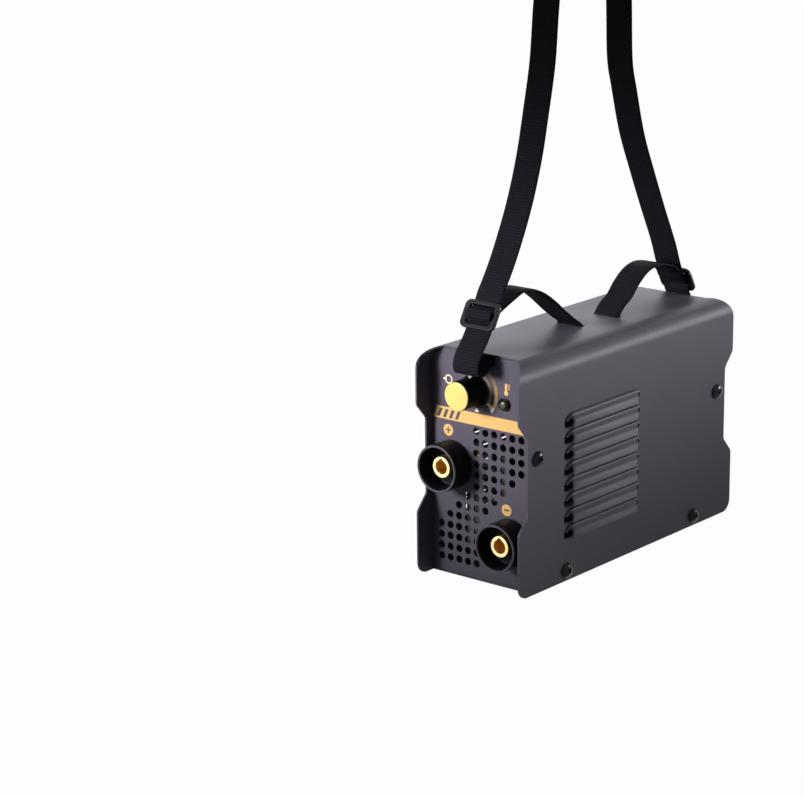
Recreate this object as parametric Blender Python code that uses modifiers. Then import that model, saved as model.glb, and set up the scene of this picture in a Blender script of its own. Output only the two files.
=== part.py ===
"""Compact stick welding inverter with a webbing carry strap, as separate solids.

Metres, +Z up. The front panel looks towards -Y and the origin is the centre of the underside.
"""
import math

import bmesh
import bpy
from mathutils import Matrix, Vector

# Case: folded cover, base plate and the two end panels
CASE_LENGTH = 0.236
CASE_WIDTH = 0.082
CASE_HEIGHT = 0.150
SHEET = 0.0012
BEND_RADIUS = 0.012
EAR_DEPTH = 0.015
EAR_FOOT_RADIUS = 0.008
NOTCH_DEPTH = 0.009
NOTCH_SLANT = 0.010
NOTCH_LOW = 0.0425
NOTCH_HIGH = 0.1125
GAP = 0.0003
FLANGE_HEIGHT = 0.014
FOOT_DEPTH = 0.012
TAB_DEPTH = 0.011
TAB_HEIGHT = 0.016
BEND_STEPS = 6

# Cover screws
SCREW_RADIUS = 0.002
SCREW_HOLE_RADIUS = 0.0023
SCREW_HEAD_RADIUS = 0.005
SCREW_HEAD_HEIGHT = 0.0026
SCREW_REACH = 0.0023
SCREW_SEGMENTS = 10
TAB_SCREW_SETBACK = 0.0038
TAB_SCREW_HEIGHT = 0.088
FRONT_BASE_SCREW_SETBACK = 0.0343
REAR_BASE_SCREW_SETBACK = 0.0295
BASE_SCREW_HEIGHT = 0.007

# Louvres pressed out of both side walls, open below and at the front end
LOUVRE_COUNT = 8
LOUVRE_PITCH = 0.0104
LOUVRE_TOP = 0.110
LOUVRE_SETBACK = 0.0345
LOUVRE_LENGTH = 0.0765
LOUVRE_WINDOW_LEAD = 0.0031
LOUVRE_HEIGHT = 0.0085
LOUVRE_LEDGE_DEPTH = 0.0014
LOUVRE_FACE_HEIGHT = 0.0022
LOUVRE_LEDGE_OUT = 0.0026
LOUVRE_WAIST_OUT = 0.0010
LOUVRE_LIP_OUT = 0.0042
LOUVRE_WALL = 0.0010

# Vent holes of the front panel
VENT_COLUMN_PITCH = 0.0071
VENT_ROW_PITCH = 0.0073
VENT_RADIUS = 0.0025
VENT_SOCKET_GAP = 0.0006
VENT_ROWS = 13
VENT_HALF_COLUMNS = 5
VENT_BOTTOM = 0.0109
VENT_MIDDLE = -0.0043
VENT_RIGHT_DIAGONAL = 8
VENT_LEFT_DIAGONAL = 5

# Welding sockets
SOCKET_RADIUS = 0.0155
SOCKET_SIDE_GAP = 0.0011
SOCKET_PROTRUSION = 0.017
SOCKET_WALL = 0.0022
SOCKET_FLOOR = 0.004
SOCKET_THREAD_RADIUS = 0.011
SOCKET_TAIL = 0.012
SOCKET_NUT_RADIUS = 0.014
SOCKET_NUT_THICKNESS = 0.005
POSITIVE_SOCKET_HEIGHT = 0.074
NEGATIVE_SOCKET_HEIGHT = 0.031
CONTACT_RADIUS = 0.0069
CONTACT_RECESS = 0.005
CONTACT_TAIL = 0.021
CONTACT_BORE_RADIUS = 0.0045
CONTACT_BORE_DEPTH = 0.020
CONTACT_BOLT_HOLE_DEPTH = 0.010
KEYWAY_WIDTH = 0.004
KEYWAY_DEPTH = 0.0026
KEYWAY_LENGTH = 0.014
BAR_WIDTH = 0.012
BAR_THICKNESS = 0.002
BAR_OVERLAP = 0.008
BOLT_RADIUS = 0.0027
BOLT_HEAD_RADIUS = 0.005
BOLT_HEAD_HEIGHT = 0.004
BOLT_REACH = 0.008

# Current knob on its potentiometer
KNOB_X = -0.0054
KNOB_FROM_TOP = 0.0254
KNOB_LENGTH = 0.0175
KNOB_FRONT_RADIUS = 0.0095
KNOB_BASE_RADIUS = 0.0108
KNOB_SKIRT_RADIUS = 0.0082
KNOB_SKIRT_DEPTH = 0.007
KNOB_CLEARANCE = 0.0008
KNOB_CAP_THICKNESS = 0.0009
KNOB_CAP_PIN_RADIUS = 0.004
KNOB_CAP_PIN_LENGTH = 0.0032
SHAFT_RADIUS = 0.003
SHAFT_REACH = 0.0112
SHAFT_TAIL = 0.006
BUSH_WALL = 0.0009
BUSH_LENGTH = 0.006
POT_RADIUS = 0.0082
POT_DEPTH = 0.009
POT_NUT_FLATS = 0.011
POT_NUT_THICKNESS = 0.0022

# Indicator lamp
LAMP_X = 0.0184
LAMP_FROM_TOP = 0.0302
LAMP_FLANGE_RADIUS = 0.0041
LAMP_FLANGE_THICKNESS = 0.0015
LAMP_BODY_RADIUS = 0.0033
LAMP_LENS_RADIUS = 0.0025
LAMP_TAIL = 0.007
LAMP_DOME = 0.0012

# Boards and power parts inside
BOARD_THICKNESS = 0.0016
CONTROL_BOARD_WIDTH = 0.060
CONTROL_BOARD_DROP = 0.022
CONTROL_BOARD_RISE = 0.016
MAIN_BOARD_WIDTH = 0.066
MAIN_BOARD_HEIGHT = 0.012
MAIN_BOARD_FRONT = 0.019
MAIN_BOARD_REAR = 0.033
STANDOFF_RADIUS = 0.003
STANDOFF_INSET = 0.006
HEATSINK_FRONT = 0.022
HEATSINK_INNER = 0.010
HEATSINK_OUTER = 0.033
HEATSINK_HEIGHT = 0.056
HEATSINK_WALL = 0.004
HEATSINK_FINS = 8
FIN_THICKNESS = 0.0018
CORE_WIDTH = 0.042
CORE_HEIGHT = 0.036
CORE_DEPTH = 0.014
CORE_LEG = 0.006
WINDING_DEPTH = 0.032
CAPACITOR_RADIUS = 0.010
CAPACITOR_HEIGHT = 0.038
CAPACITOR_X = 0.012
POWER_SPACING = 0.0012

# Cooling fan behind the rear panel
FAN_SIDE_GAP = 0.0010
FAN_DEPTH = 0.025
FAN_HEIGHT = 0.054
FAN_RIM = 0.002
FAN_SCREW_INSET = 0.005
FAN_HUB_RADIUS = 0.014
FAN_TIP_CLEARANCE = 0.0015
FAN_SPIDER = 0.003
FAN_STRUT = 0.004
FAN_AXLE_RADIUS = 0.002
FAN_BLADES = 7
FAN_BLADE_THICKNESS = 0.0012
FAN_BLADE_PITCH = 42.0
FAN_SCREW_LENGTH = 0.012
AIR_RINGS = 3
AIR_RING_STEP = 0.009
AIR_HOLE_RADIUS = 0.003

# Rocker switch and cable gland on the rear panel
SWITCH_X = -0.016
SWITCH_FROM_TOP = 0.028
SWITCH_WIDTH = 0.019
SWITCH_HEIGHT = 0.027
SWITCH_FLANGE = 0.002
SWITCH_DEPTH = 0.014
ROCKER_WIDTH = 0.0132
ROCKER_HEIGHT = 0.0208
ROCKER_TILT = 8.0
ROCKER_CLEARANCE = 0.0006
GLAND_X = 0.018
GLAND_FROM_TOP = 0.028
GLAND_BORE_RADIUS = 0.0042
GLAND_THREAD_RADIUS = 0.0077
GLAND_FLANGE_RADIUS = 0.0105
GLAND_LENGTH = 0.018
GLAND_TAIL = 0.010
GLAND_NUT_THICKNESS = 0.004

# Webbing strap and its two slide buckles
STRAP_WIDTH = 0.020
STRAP_THICKNESS = 0.0014
STRAP_SLOT_LENGTH = 0.0212
STRAP_SLOT_WIDTH = 0.005
STRAP_NOTCH_DEPTH = 0.0058
FRONT_SLOT_SETBACK = 0.0923
REAR_SLOT_SETBACK = 0.0795
REAR_STRAP_SIDE = 0.0045
STRAP_ARCH_HEIGHT = 0.250
STRAP_STEPS = 2
BUCKLE_WIDTH = 0.027
BUCKLE_HEIGHT = 0.0185
BUCKLE_THICKNESS = 0.0024
BUCKLE_BAR = 0.0030
BUCKLE_MIDDLE_BAR = 0.0030
BUCKLE_RIM = 0.0028
WEB_CLEARANCE = 0.0006
BUCKLE_ROUND = 0.0008
FRONT_BUCKLE = (-0.0007, 0.0238)
FRONT_BUCKLE_TILT = 30.0
REAR_BUCKLE = (-0.0006, 0.0106)
REAR_BUCKLE_TILT = 28.6

# Places worked out from the sizes above
HALF_WIDTH = CASE_WIDTH / 2
HALF_LENGTH = CASE_LENGTH / 2
PANEL_Y = HALF_LENGTH - EAR_DEPTH
INNER_HALF = HALF_WIDTH - SHEET - GAP
CEILING = CASE_HEIGHT - SHEET
SOCKET_X = HALF_WIDTH - SHEET - SOCKET_SIDE_GAP - SOCKET_RADIUS
KNOB_Z = CASE_HEIGHT - KNOB_FROM_TOP
LAMP_Z = CASE_HEIGHT - LAMP_FROM_TOP
SWITCH_Z = CASE_HEIGHT - SWITCH_FROM_TOP
GLAND_Z = CASE_HEIGHT - GLAND_FROM_TOP
BEHIND_PANEL = SHEET + GAP
BOARD_TOP = MAIN_BOARD_HEIGHT + BOARD_THICKNESS
PARTS_FLOOR = BOARD_TOP + GAP
BOARD_START = -PANEL_Y + MAIN_BOARD_FRONT
BOARD_END = PANEL_Y - MAIN_BOARD_REAR
CAPACITOR_Y = BOARD_END - CAPACITOR_RADIUS - POWER_SPACING
CORE_Y = CAPACITOR_Y - CAPACITOR_RADIUS - POWER_SPACING - WINDING_DEPTH / 2
HEATSINK_START = BOARD_START + HEATSINK_FRONT
HEATSINK_END = CORE_Y - WINDING_DEPTH / 2 - POWER_SPACING
SCREW_LENGTH = 2 * SHEET + GAP + SCREW_REACH
FAN_SIZE = 2 * (HALF_WIDTH - SCREW_LENGTH - FAN_SIDE_GAP)
FAN_BACK = PANEL_Y - BEHIND_PANEL
FAN_BORE = FAN_SIZE / 2 - FAN_RIM
FAN_SCREW_OFFSET = FAN_SIZE / 2 - FAN_SCREW_INSET

FACING_FRONT = (math.radians(90), 0, 0)
FACING_REAR = (math.radians(-90), 0, 0)
FACING_RIGHT = (0, math.radians(90), 0)
FACING_LEFT = (0, math.radians(-90), 0)

for old in list(bpy.data.objects):
    bpy.data.objects.remove(old, do_unlink=True)

PARTS = bpy.data.collections.new("stick_welding_inverter")
CUTTERS = bpy.data.collections.new("cutters")
bpy.context.scene.collection.children.link(PARTS)
bpy.context.scene.collection.children.link(CUTTERS)
ASSEMBLY = bpy.data.objects.new("assembly_origin", None)
PARTS.objects.link(ASSEMBLY)


def material(name, colour, roughness, metallic=0.0):
    """One Principled material for a finish, made once and shared."""
    found = bpy.data.materials.get(name)
    if found:
        return found
    made = bpy.data.materials.new(name)
    made.use_nodes = True
    shader = made.node_tree.nodes["Principled BSDF"]
    shader.inputs["Base Color"].default_value = (*colour, 1.0)
    shader.inputs["Roughness"].default_value = roughness
    shader.inputs["Metallic"].default_value = metallic
    made.diffuse_color = (*colour, 1.0)
    return made


COATED = material("charcoal_powder_coat", (0.075, 0.073, 0.080), 0.45)
BLACK_SCREW = material("black_oxide_steel", (0.02, 0.02, 0.022), 0.35, 0.8)
SOCKET_BLACK = material("black_moulded_plastic", (0.015, 0.015, 0.016), 0.35)
BRASS = material("brass", (0.75, 0.52, 0.20), 0.25, 1.0)
YELLOW = material("yellow_plastic", (0.85, 0.72, 0.04), 0.35)
STEEL = material("zinc_steel", (0.55, 0.55, 0.56), 0.35, 1.0)
ALUMINIUM = material("aluminium", (0.75, 0.76, 0.78), 0.30, 1.0)
COPPER = material("copper", (0.80, 0.42, 0.25), 0.30, 1.0)
BOARD_GREEN = material("circuit_board", (0.02, 0.14, 0.06), 0.50)
FERRITE = material("ferrite", (0.04, 0.04, 0.045), 0.70)
VARNISH = material("winding_tape", (0.70, 0.55, 0.12), 0.55)
SLEEVE = material("capacitor_sleeve", (0.03, 0.03, 0.05), 0.40)
GREEN_LENS = material("green_lens", (0.25, 0.55, 0.20), 0.15)
RED_ROCKER = material("red_plastic", (0.55, 0.03, 0.02), 0.35)
WEBBING = material("black_webbing", (0.012, 0.012, 0.014), 0.85)


def as_object(name, mesh, collection, location=(0, 0, 0), rotation=(0, 0, 0)):
    made = bpy.data.objects.new(name, mesh)
    collection.objects.link(made)
    made.location = location
    made.rotation_euler = rotation
    return made


def as_part(name, source, finish, location=(0, 0, 0), rotation=(0, 0, 0)):
    """A named node from a bmesh or an existing mesh, parented to the assembly."""
    if isinstance(source, bmesh.types.BMesh):
        source = bm_to_mesh(source, name)
    if not source.materials:
        source.materials.append(finish)
    made = as_object(name, source, PARTS, location, rotation)
    made.parent = ASSEMBLY
    return made


def bm_to_mesh(bm, name):
    bmesh.ops.recalc_face_normals(bm, faces=bm.faces)
    mesh = bpy.data.meshes.new(name)
    bm.to_mesh(mesh)
    bm.free()
    return mesh


def boolean(target, bm, operation, name):
    """Adds a live boolean whose operand is kept out of the finished parts."""
    operand = as_object(name, bm_to_mesh(bm, name), CUTTERS)
    operand.hide_render = True
    operand.display_type = "WIRE"
    modifier = target.modifiers.new(name, "BOOLEAN")
    modifier.operation = operation
    modifier.solver = "EXACT"
    modifier.object = operand


def cut(target, bm, name):
    boolean(target, bm, "DIFFERENCE", name)


def join(target, bm, name):
    boolean(target, bm, "UNION", name)


def arc(centre, radius, start, end, steps=BEND_STEPS):
    """Points of a circular arc between two angles in degrees."""
    points = []
    for step in range(steps + 1):
        angle = math.radians(start + (end - start) * step / steps)
        points.append((centre[0] + radius * math.cos(angle), centre[1] + radius * math.sin(angle)))
    return points


def spread(axis, first, second, along):
    """A point from two outline coordinates and its distance along the extrusion axis."""
    if axis == "X":
        return Vector((along, first, second))
    if axis == "Y":
        return Vector((first, along, second))
    return Vector((first, second, along))


def add_prism(bm, outline, start, end, axis):
    """Extrudes a closed flat outline along one axis."""
    corners = [bm.verts.new(spread(axis, first, second, start)) for first, second in outline]
    cap = bm.faces.new(corners)
    grown = bmesh.ops.extrude_face_region(bm, geom=[cap])
    moved = [item for item in grown["geom"] if isinstance(item, bmesh.types.BMVert)]
    bmesh.ops.translate(bm, verts=moved, vec=spread(axis, 0, 0, end - start))
    return bm


def add_box(bm, low, high):
    low = Vector(low)
    high = Vector(high)
    scale = Matrix.Diagonal((*(high - low), 1.0))
    bmesh.ops.create_cube(bm, size=1.0, matrix=Matrix.Translation((low + high) / 2) @ scale)
    return bm


def add_cylinder(bm, centre, radius, start, end, axis, segments):
    """A cylinder along one axis; centre gives the two coordinates across it."""
    turn = {"X": Matrix.Rotation(math.radians(90), 4, "Y"),
            "Y": Matrix.Rotation(math.radians(90), 4, "X"),
            "Z": Matrix.Identity(4)}[axis]
    middle = spread(axis, centre[0], centre[1], (start + end) / 2)
    bmesh.ops.create_cone(bm, cap_ends=True, segments=segments, radius1=radius, radius2=radius,
                          depth=abs(end - start), matrix=Matrix.Translation(middle) @ turn)
    return bm


def turned(name, profile, finish, segments, location, rotation, closed=False):
    """A turned piece: profile points (radius, height) run down the outer side, spun by a Screw."""
    mesh = bpy.data.meshes.new(name)
    edges = [(index, index + 1) for index in range(len(profile) - 1)]
    if closed:
        edges.append((len(profile) - 1, 0))
    mesh.from_pydata([(radius, 0, height) for radius, height in profile], edges, [])
    made = as_part(name, mesh, finish, location, rotation)
    screw = made.modifiers.new("turn", "SCREW")
    screw.axis = "Z"
    screw.angle = math.radians(360)
    screw.steps = segments
    screw.render_steps = segments
    screw.use_merge_vertices = True
    screw.merge_threshold = 0.00001
    screw.use_smooth_shade = True
    return made


def mirrored(outline):
    return [(-first, second) for first, second in outline]


def cover_section():
    """The folded sheet seen from the front: an upside-down U with round bends."""
    bend = (HALF_WIDTH - BEND_RADIUS, CASE_HEIGHT - BEND_RADIUS)
    right_outer = [(HALF_WIDTH, 0)] + arc(bend, BEND_RADIUS, 0, 90)
    right_inner = [(HALF_WIDTH - SHEET, 0)] + arc(bend, BEND_RADIUS - SHEET, 0, 90)
    outer = right_outer + mirrored(right_outer)[::-1]
    inner = right_inner + mirrored(right_inner)[::-1]
    return outer + inner[::-1]


def wing_outline():
    """The side wall seen from the side, with ears, notches and round corners."""
    ear_corner = (-HALF_LENGTH + EAR_DEPTH, CASE_HEIGHT - EAR_DEPTH)
    foot_corner = (-HALF_LENGTH + EAR_FOOT_RADIUS, EAR_FOOT_RADIUS)
    notch = -HALF_LENGTH + NOTCH_DEPTH
    front = arc(foot_corner, EAR_FOOT_RADIUS, 270, 180)
    front += [(-HALF_LENGTH, NOTCH_LOW), (notch, NOTCH_LOW + NOTCH_SLANT)]
    front += [(notch, NOTCH_HIGH - NOTCH_SLANT), (-HALF_LENGTH, NOTCH_HIGH)]
    front += arc(ear_corner, EAR_DEPTH, 180, 90)
    return front + mirrored(front)[::-1]


def top_edge_relief(sign):
    """Plan view of what is cut off beyond an end of the top sheet, so that its edge is square."""
    right = []
    for angle in (0, 30, 60, 90):
        across = HALF_WIDTH - BEND_RADIUS + BEND_RADIUS * math.cos(math.radians(angle))
        rise = EAR_DEPTH - BEND_RADIUS + BEND_RADIUS * math.sin(math.radians(angle))
        right.append((across, sign * (PANEL_Y + math.sqrt(max(EAR_DEPTH ** 2 - rise ** 2, 0)))))
    beyond = sign * (HALF_LENGTH + EAR_DEPTH)
    right = [(CASE_WIDTH, beyond), (CASE_WIDTH, right[0][1])] + right
    return right + mirrored(right)[::-1]


def louvre_outer(top):
    """Section of one louvre: a short ledge, an undercut face and a flared lip."""
    ledge = top - LOUVRE_LEDGE_DEPTH
    return [(HALF_WIDTH - SHEET / 2, top), (HALF_WIDTH, top),
            (HALF_WIDTH + 0.8 * LOUVRE_LEDGE_OUT, top - 0.45 * LOUVRE_LEDGE_DEPTH),
            (HALF_WIDTH + LOUVRE_LEDGE_OUT, ledge),
            (HALF_WIDTH + LOUVRE_WAIST_OUT, ledge - LOUVRE_FACE_HEIGHT),
            (HALF_WIDTH + LOUVRE_LIP_OUT, top - LOUVRE_HEIGHT),
            (HALF_WIDTH - SHEET / 2, top - LOUVRE_HEIGHT)]


def louvre_inner(top):
    """Space under one louvre, cut on through the side wall."""
    inside = HALF_WIDTH - 2 * SHEET
    roof = top - LOUVRE_LEDGE_DEPTH - 0.2 * LOUVRE_WALL
    below = top - LOUVRE_HEIGHT - GAP
    return [(inside, roof), (HALF_WIDTH + LOUVRE_LEDGE_OUT - 1.6 * LOUVRE_WALL, roof),
            (HALF_WIDTH + LOUVRE_WAIST_OUT - LOUVRE_WALL, top - LOUVRE_LEDGE_DEPTH - LOUVRE_FACE_HEIGHT),
            (HALF_WIDTH + LOUVRE_LIP_OUT - LOUVRE_WALL, below), (inside, below)]


def build_cover():
    cover = as_part("cover", add_prism(bmesh.new(), cover_section(), -HALF_LENGTH, HALF_LENGTH, "Y"), COATED)
    side = add_prism(bmesh.new(), wing_outline(), -CASE_WIDTH, CASE_WIDTH, "X")
    boolean(cover, side, "INTERSECT", "cover_side_outline")

    hoods = bmesh.new()
    spaces = bmesh.new()
    front = -PANEL_Y + LOUVRE_SETBACK
    rear = front + LOUVRE_LENGTH
    for index in range(LOUVRE_COUNT):
        top = LOUVRE_TOP - index * LOUVRE_PITCH
        for place in (list, mirrored):
            add_prism(hoods, place(louvre_outer(top)), front, rear, "Y")
            add_prism(spaces, place(louvre_inner(top)), front - LOUVRE_WINDOW_LEAD, rear - LOUVRE_WALL, "Y")
    join(cover, hoods, "louvre_hoods")
    cut(cover, spaces, "louvre_spaces")

    relief = bmesh.new()
    for sign in (-1, 1):
        add_prism(relief, top_edge_relief(sign), CASE_HEIGHT - BEND_RADIUS, CASE_HEIGHT + BEND_RADIUS, "Z")
    cut(cover, relief, "top_edge_relief")

    openings = bmesh.new()
    for across, along in ((0, -PANEL_Y + FRONT_SLOT_SETBACK), (REAR_STRAP_SIDE, PANEL_Y - REAR_SLOT_SETBACK)):
        half_slot = STRAP_SLOT_WIDTH / 2
        add_box(openings, (across - STRAP_SLOT_LENGTH / 2, along - half_slot, CEILING - SHEET),
                (across + STRAP_SLOT_LENGTH / 2, along + half_slot, CASE_HEIGHT + SHEET))
    for along, height in cover_screw_places():
        add_cylinder(openings, (along, height), SCREW_HOLE_RADIUS, -CASE_WIDTH, CASE_WIDTH, "X", 12)
    cut(cover, openings, "cover_openings")


def cover_screw_places():
    """Side screws as (y, z): two into the end panels' tabs, two into the base flange."""
    tab = PANEL_Y - TAB_SCREW_SETBACK
    return [(-tab, TAB_SCREW_HEIGHT), (tab, TAB_SCREW_HEIGHT),
            (-PANEL_Y + FRONT_BASE_SCREW_SETBACK, BASE_SCREW_HEIGHT),
            (PANEL_Y - REAR_BASE_SCREW_SETBACK, BASE_SCREW_HEIGHT)]


def build_base_plate():
    end = PANEL_Y - BEHIND_PANEL
    inner = INNER_HALF - SHEET
    channel = [(-INNER_HALF, 0), (INNER_HALF, 0), (INNER_HALF, FLANGE_HEIGHT), (inner, FLANGE_HEIGHT),
               (inner, SHEET), (-inner, SHEET), (-inner, FLANGE_HEIGHT), (-INNER_HALF, FLANGE_HEIGHT)]
    base = as_part("base_plate", add_prism(bmesh.new(), channel, -end, end, "Y"), COATED)
    floor = add_box(bmesh.new(), (-INNER_HALF, -PANEL_Y, 0), (INNER_HALF, PANEL_Y, SHEET))
    join(base, floor, "base_floor")
    holes = bmesh.new()
    for along, height in cover_screw_places()[2:]:
        add_cylinder(holes, (along, height), SCREW_HOLE_RADIUS, -CASE_WIDTH, CASE_WIDTH, "X", 12)
    cut(base, holes, "base_screw_holes")


def build_panel(name, sign, strap_side):
    """An end panel with its strap notch, foot and side tabs; sign -1 is the front, +1 the rear."""
    top = CEILING - GAP
    foot = SHEET + GAP
    radius = BEND_RADIUS - SHEET - GAP
    right = [(INNER_HALF, foot)] + arc((INNER_HALF - radius, top - radius), radius, 0, 90)
    notch_right = strap_side + STRAP_SLOT_LENGTH / 2
    notch_left = strap_side - STRAP_SLOT_LENGTH / 2
    notch_floor = top - STRAP_NOTCH_DEPTH
    notch = [(notch_right, top), (notch_right, notch_floor), (notch_left, notch_floor), (notch_left, top)]
    outline = right + notch + mirrored(right)[::-1]
    face = sign * PANEL_Y
    back = sign * (PANEL_Y - SHEET)
    panel = as_part(name, add_prism(bmesh.new(), outline, face, back, "Y"), COATED)

    middle = sign * (PANEL_Y - SHEET / 2)
    folds = bmesh.new()
    foot_half = INNER_HALF - SHEET - GAP
    foot_end = sign * (PANEL_Y - SHEET - FOOT_DEPTH)
    add_box(folds, (-foot_half, min(middle, foot_end), foot),
            (foot_half, max(middle, foot_end), foot + SHEET))
    tab_end = sign * (PANEL_Y - SHEET - TAB_DEPTH)
    for side in (-1, 1):
        edges = sorted((side * INNER_HALF, side * (INNER_HALF - SHEET)))
        add_box(folds, (edges[0], min(middle, tab_end), TAB_SCREW_HEIGHT - TAB_HEIGHT / 2),
                (edges[1], max(middle, tab_end), TAB_SCREW_HEIGHT + TAB_HEIGHT / 2))
    join(panel, folds, name + "_folds")
    tab_hole = bmesh.new()
    add_cylinder(tab_hole, (sign * (PANEL_Y - TAB_SCREW_SETBACK), TAB_SCREW_HEIGHT),
                 SCREW_HOLE_RADIUS, -CASE_WIDTH, CASE_WIDTH, "X", 12)
    cut(panel, tab_hole, name + "_tab_holes")
    return panel


def socket_places():
    return {"positive": (-SOCKET_X, POSITIVE_SOCKET_HEIGHT), "negative": (SOCKET_X, NEGATIVE_SOCKET_HEIGHT)}


def vent_places():
    """Square grid in two fields either side of a diagonal, clear of the sockets."""
    clear = SOCKET_RADIUS + VENT_RADIUS + VENT_SOCKET_GAP
    edge = INNER_HALF - SHEET - VENT_RADIUS
    for column in range(-VENT_HALF_COLUMNS, VENT_HALF_COLUMNS + 1):
        for row in range(VENT_ROWS):
            if column > 0 and row + column > VENT_RIGHT_DIAGONAL:
                continue
            if column < 0 and row + column < VENT_LEFT_DIAGONAL:
                continue
            place = Vector((VENT_MIDDLE + column * VENT_COLUMN_PITCH,
                            VENT_BOTTOM + (VENT_ROWS - 1 - row) * VENT_ROW_PITCH))
            near_socket = any((place - Vector(centre)).length < clear for centre in socket_places().values())
            if abs(place.x) < edge and not near_socket:
                yield place


def build_front_panel():
    panel = build_panel("front_panel", -1, 0)
    holes = bmesh.new()
    through = (-PANEL_Y - SHEET, -PANEL_Y + 2 * SHEET)
    for place in vent_places():
        add_cylinder(holes, place, VENT_RADIUS, *through, "Y", 8)
    for place in socket_places().values():
        add_cylinder(holes, place, SOCKET_THREAD_RADIUS + GAP, *through, "Y", 24)
    add_cylinder(holes, (KNOB_X, KNOB_Z), SHAFT_RADIUS + 2 * GAP + BUSH_WALL, *through, "Y", 16)
    add_cylinder(holes, (LAMP_X, LAMP_Z), LAMP_BODY_RADIUS + GAP, *through, "Y", 16)
    cut(panel, holes, "front_panel_holes")


def build_rear_panel():
    panel = build_panel("rear_panel", 1, REAR_STRAP_SIDE)
    holes = bmesh.new()
    through = (PANEL_Y - 2 * SHEET, PANEL_Y + SHEET)
    add_cylinder(holes, (0, FAN_HEIGHT), AIR_HOLE_RADIUS, *through, "Y", 8)
    for ring in range(1, AIR_RINGS + 1):
        count = 6 * ring
        for index in range(count):
            angle = 2 * math.pi * index / count
            place = (ring * AIR_RING_STEP * math.cos(angle), FAN_HEIGHT + ring * AIR_RING_STEP * math.sin(angle))
            add_cylinder(holes, place, AIR_HOLE_RADIUS, *through, "Y", 8)
    for place in fan_screw_places():
        add_cylinder(holes, place, SCREW_HOLE_RADIUS, *through, "Y", 12)
    add_cylinder(holes, (GLAND_X, GLAND_Z), GLAND_THREAD_RADIUS + GAP, *through, "Y", 20)
    half_width = SWITCH_WIDTH / 2 + GAP
    half_height = SWITCH_HEIGHT / 2 + GAP
    add_box(holes, (SWITCH_X - half_width, through[0], SWITCH_Z - half_height),
            (SWITCH_X + half_width, through[1], SWITCH_Z + half_height))
    cut(panel, holes, "rear_panel_holes")


def screw_profile(length):
    """Low round head above the seat and a plain shank below it."""
    head = SCREW_HEAD_HEIGHT
    return [(0, GAP + head), (0.55 * SCREW_HEAD_RADIUS, GAP + 0.9 * head),
            (0.9 * SCREW_HEAD_RADIUS, GAP + 0.5 * head), (SCREW_HEAD_RADIUS, GAP),
            (SCREW_RADIUS, GAP), (SCREW_RADIUS, -length), (0, -length)]


def build_screws():
    names = ("front_upper", "rear_upper", "front_lower", "rear_lower")
    for word, (along, height) in zip(names, cover_screw_places()):
        for side, facing, across in (("right", FACING_RIGHT, HALF_WIDTH), ("left", FACING_LEFT, -HALF_WIDTH)):
            turned(f"cover_screw_{side}_{word}", screw_profile(SCREW_LENGTH), BLACK_SCREW, SCREW_SEGMENTS,
                   (across, along, height), facing)
    for index, (across, height) in enumerate(fan_screw_places()):
        turned(f"fan_screw_{index + 1}", screw_profile(FAN_SCREW_LENGTH), BLACK_SCREW, SCREW_SEGMENTS,
               (across, PANEL_Y, height), FACING_REAR)


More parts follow.
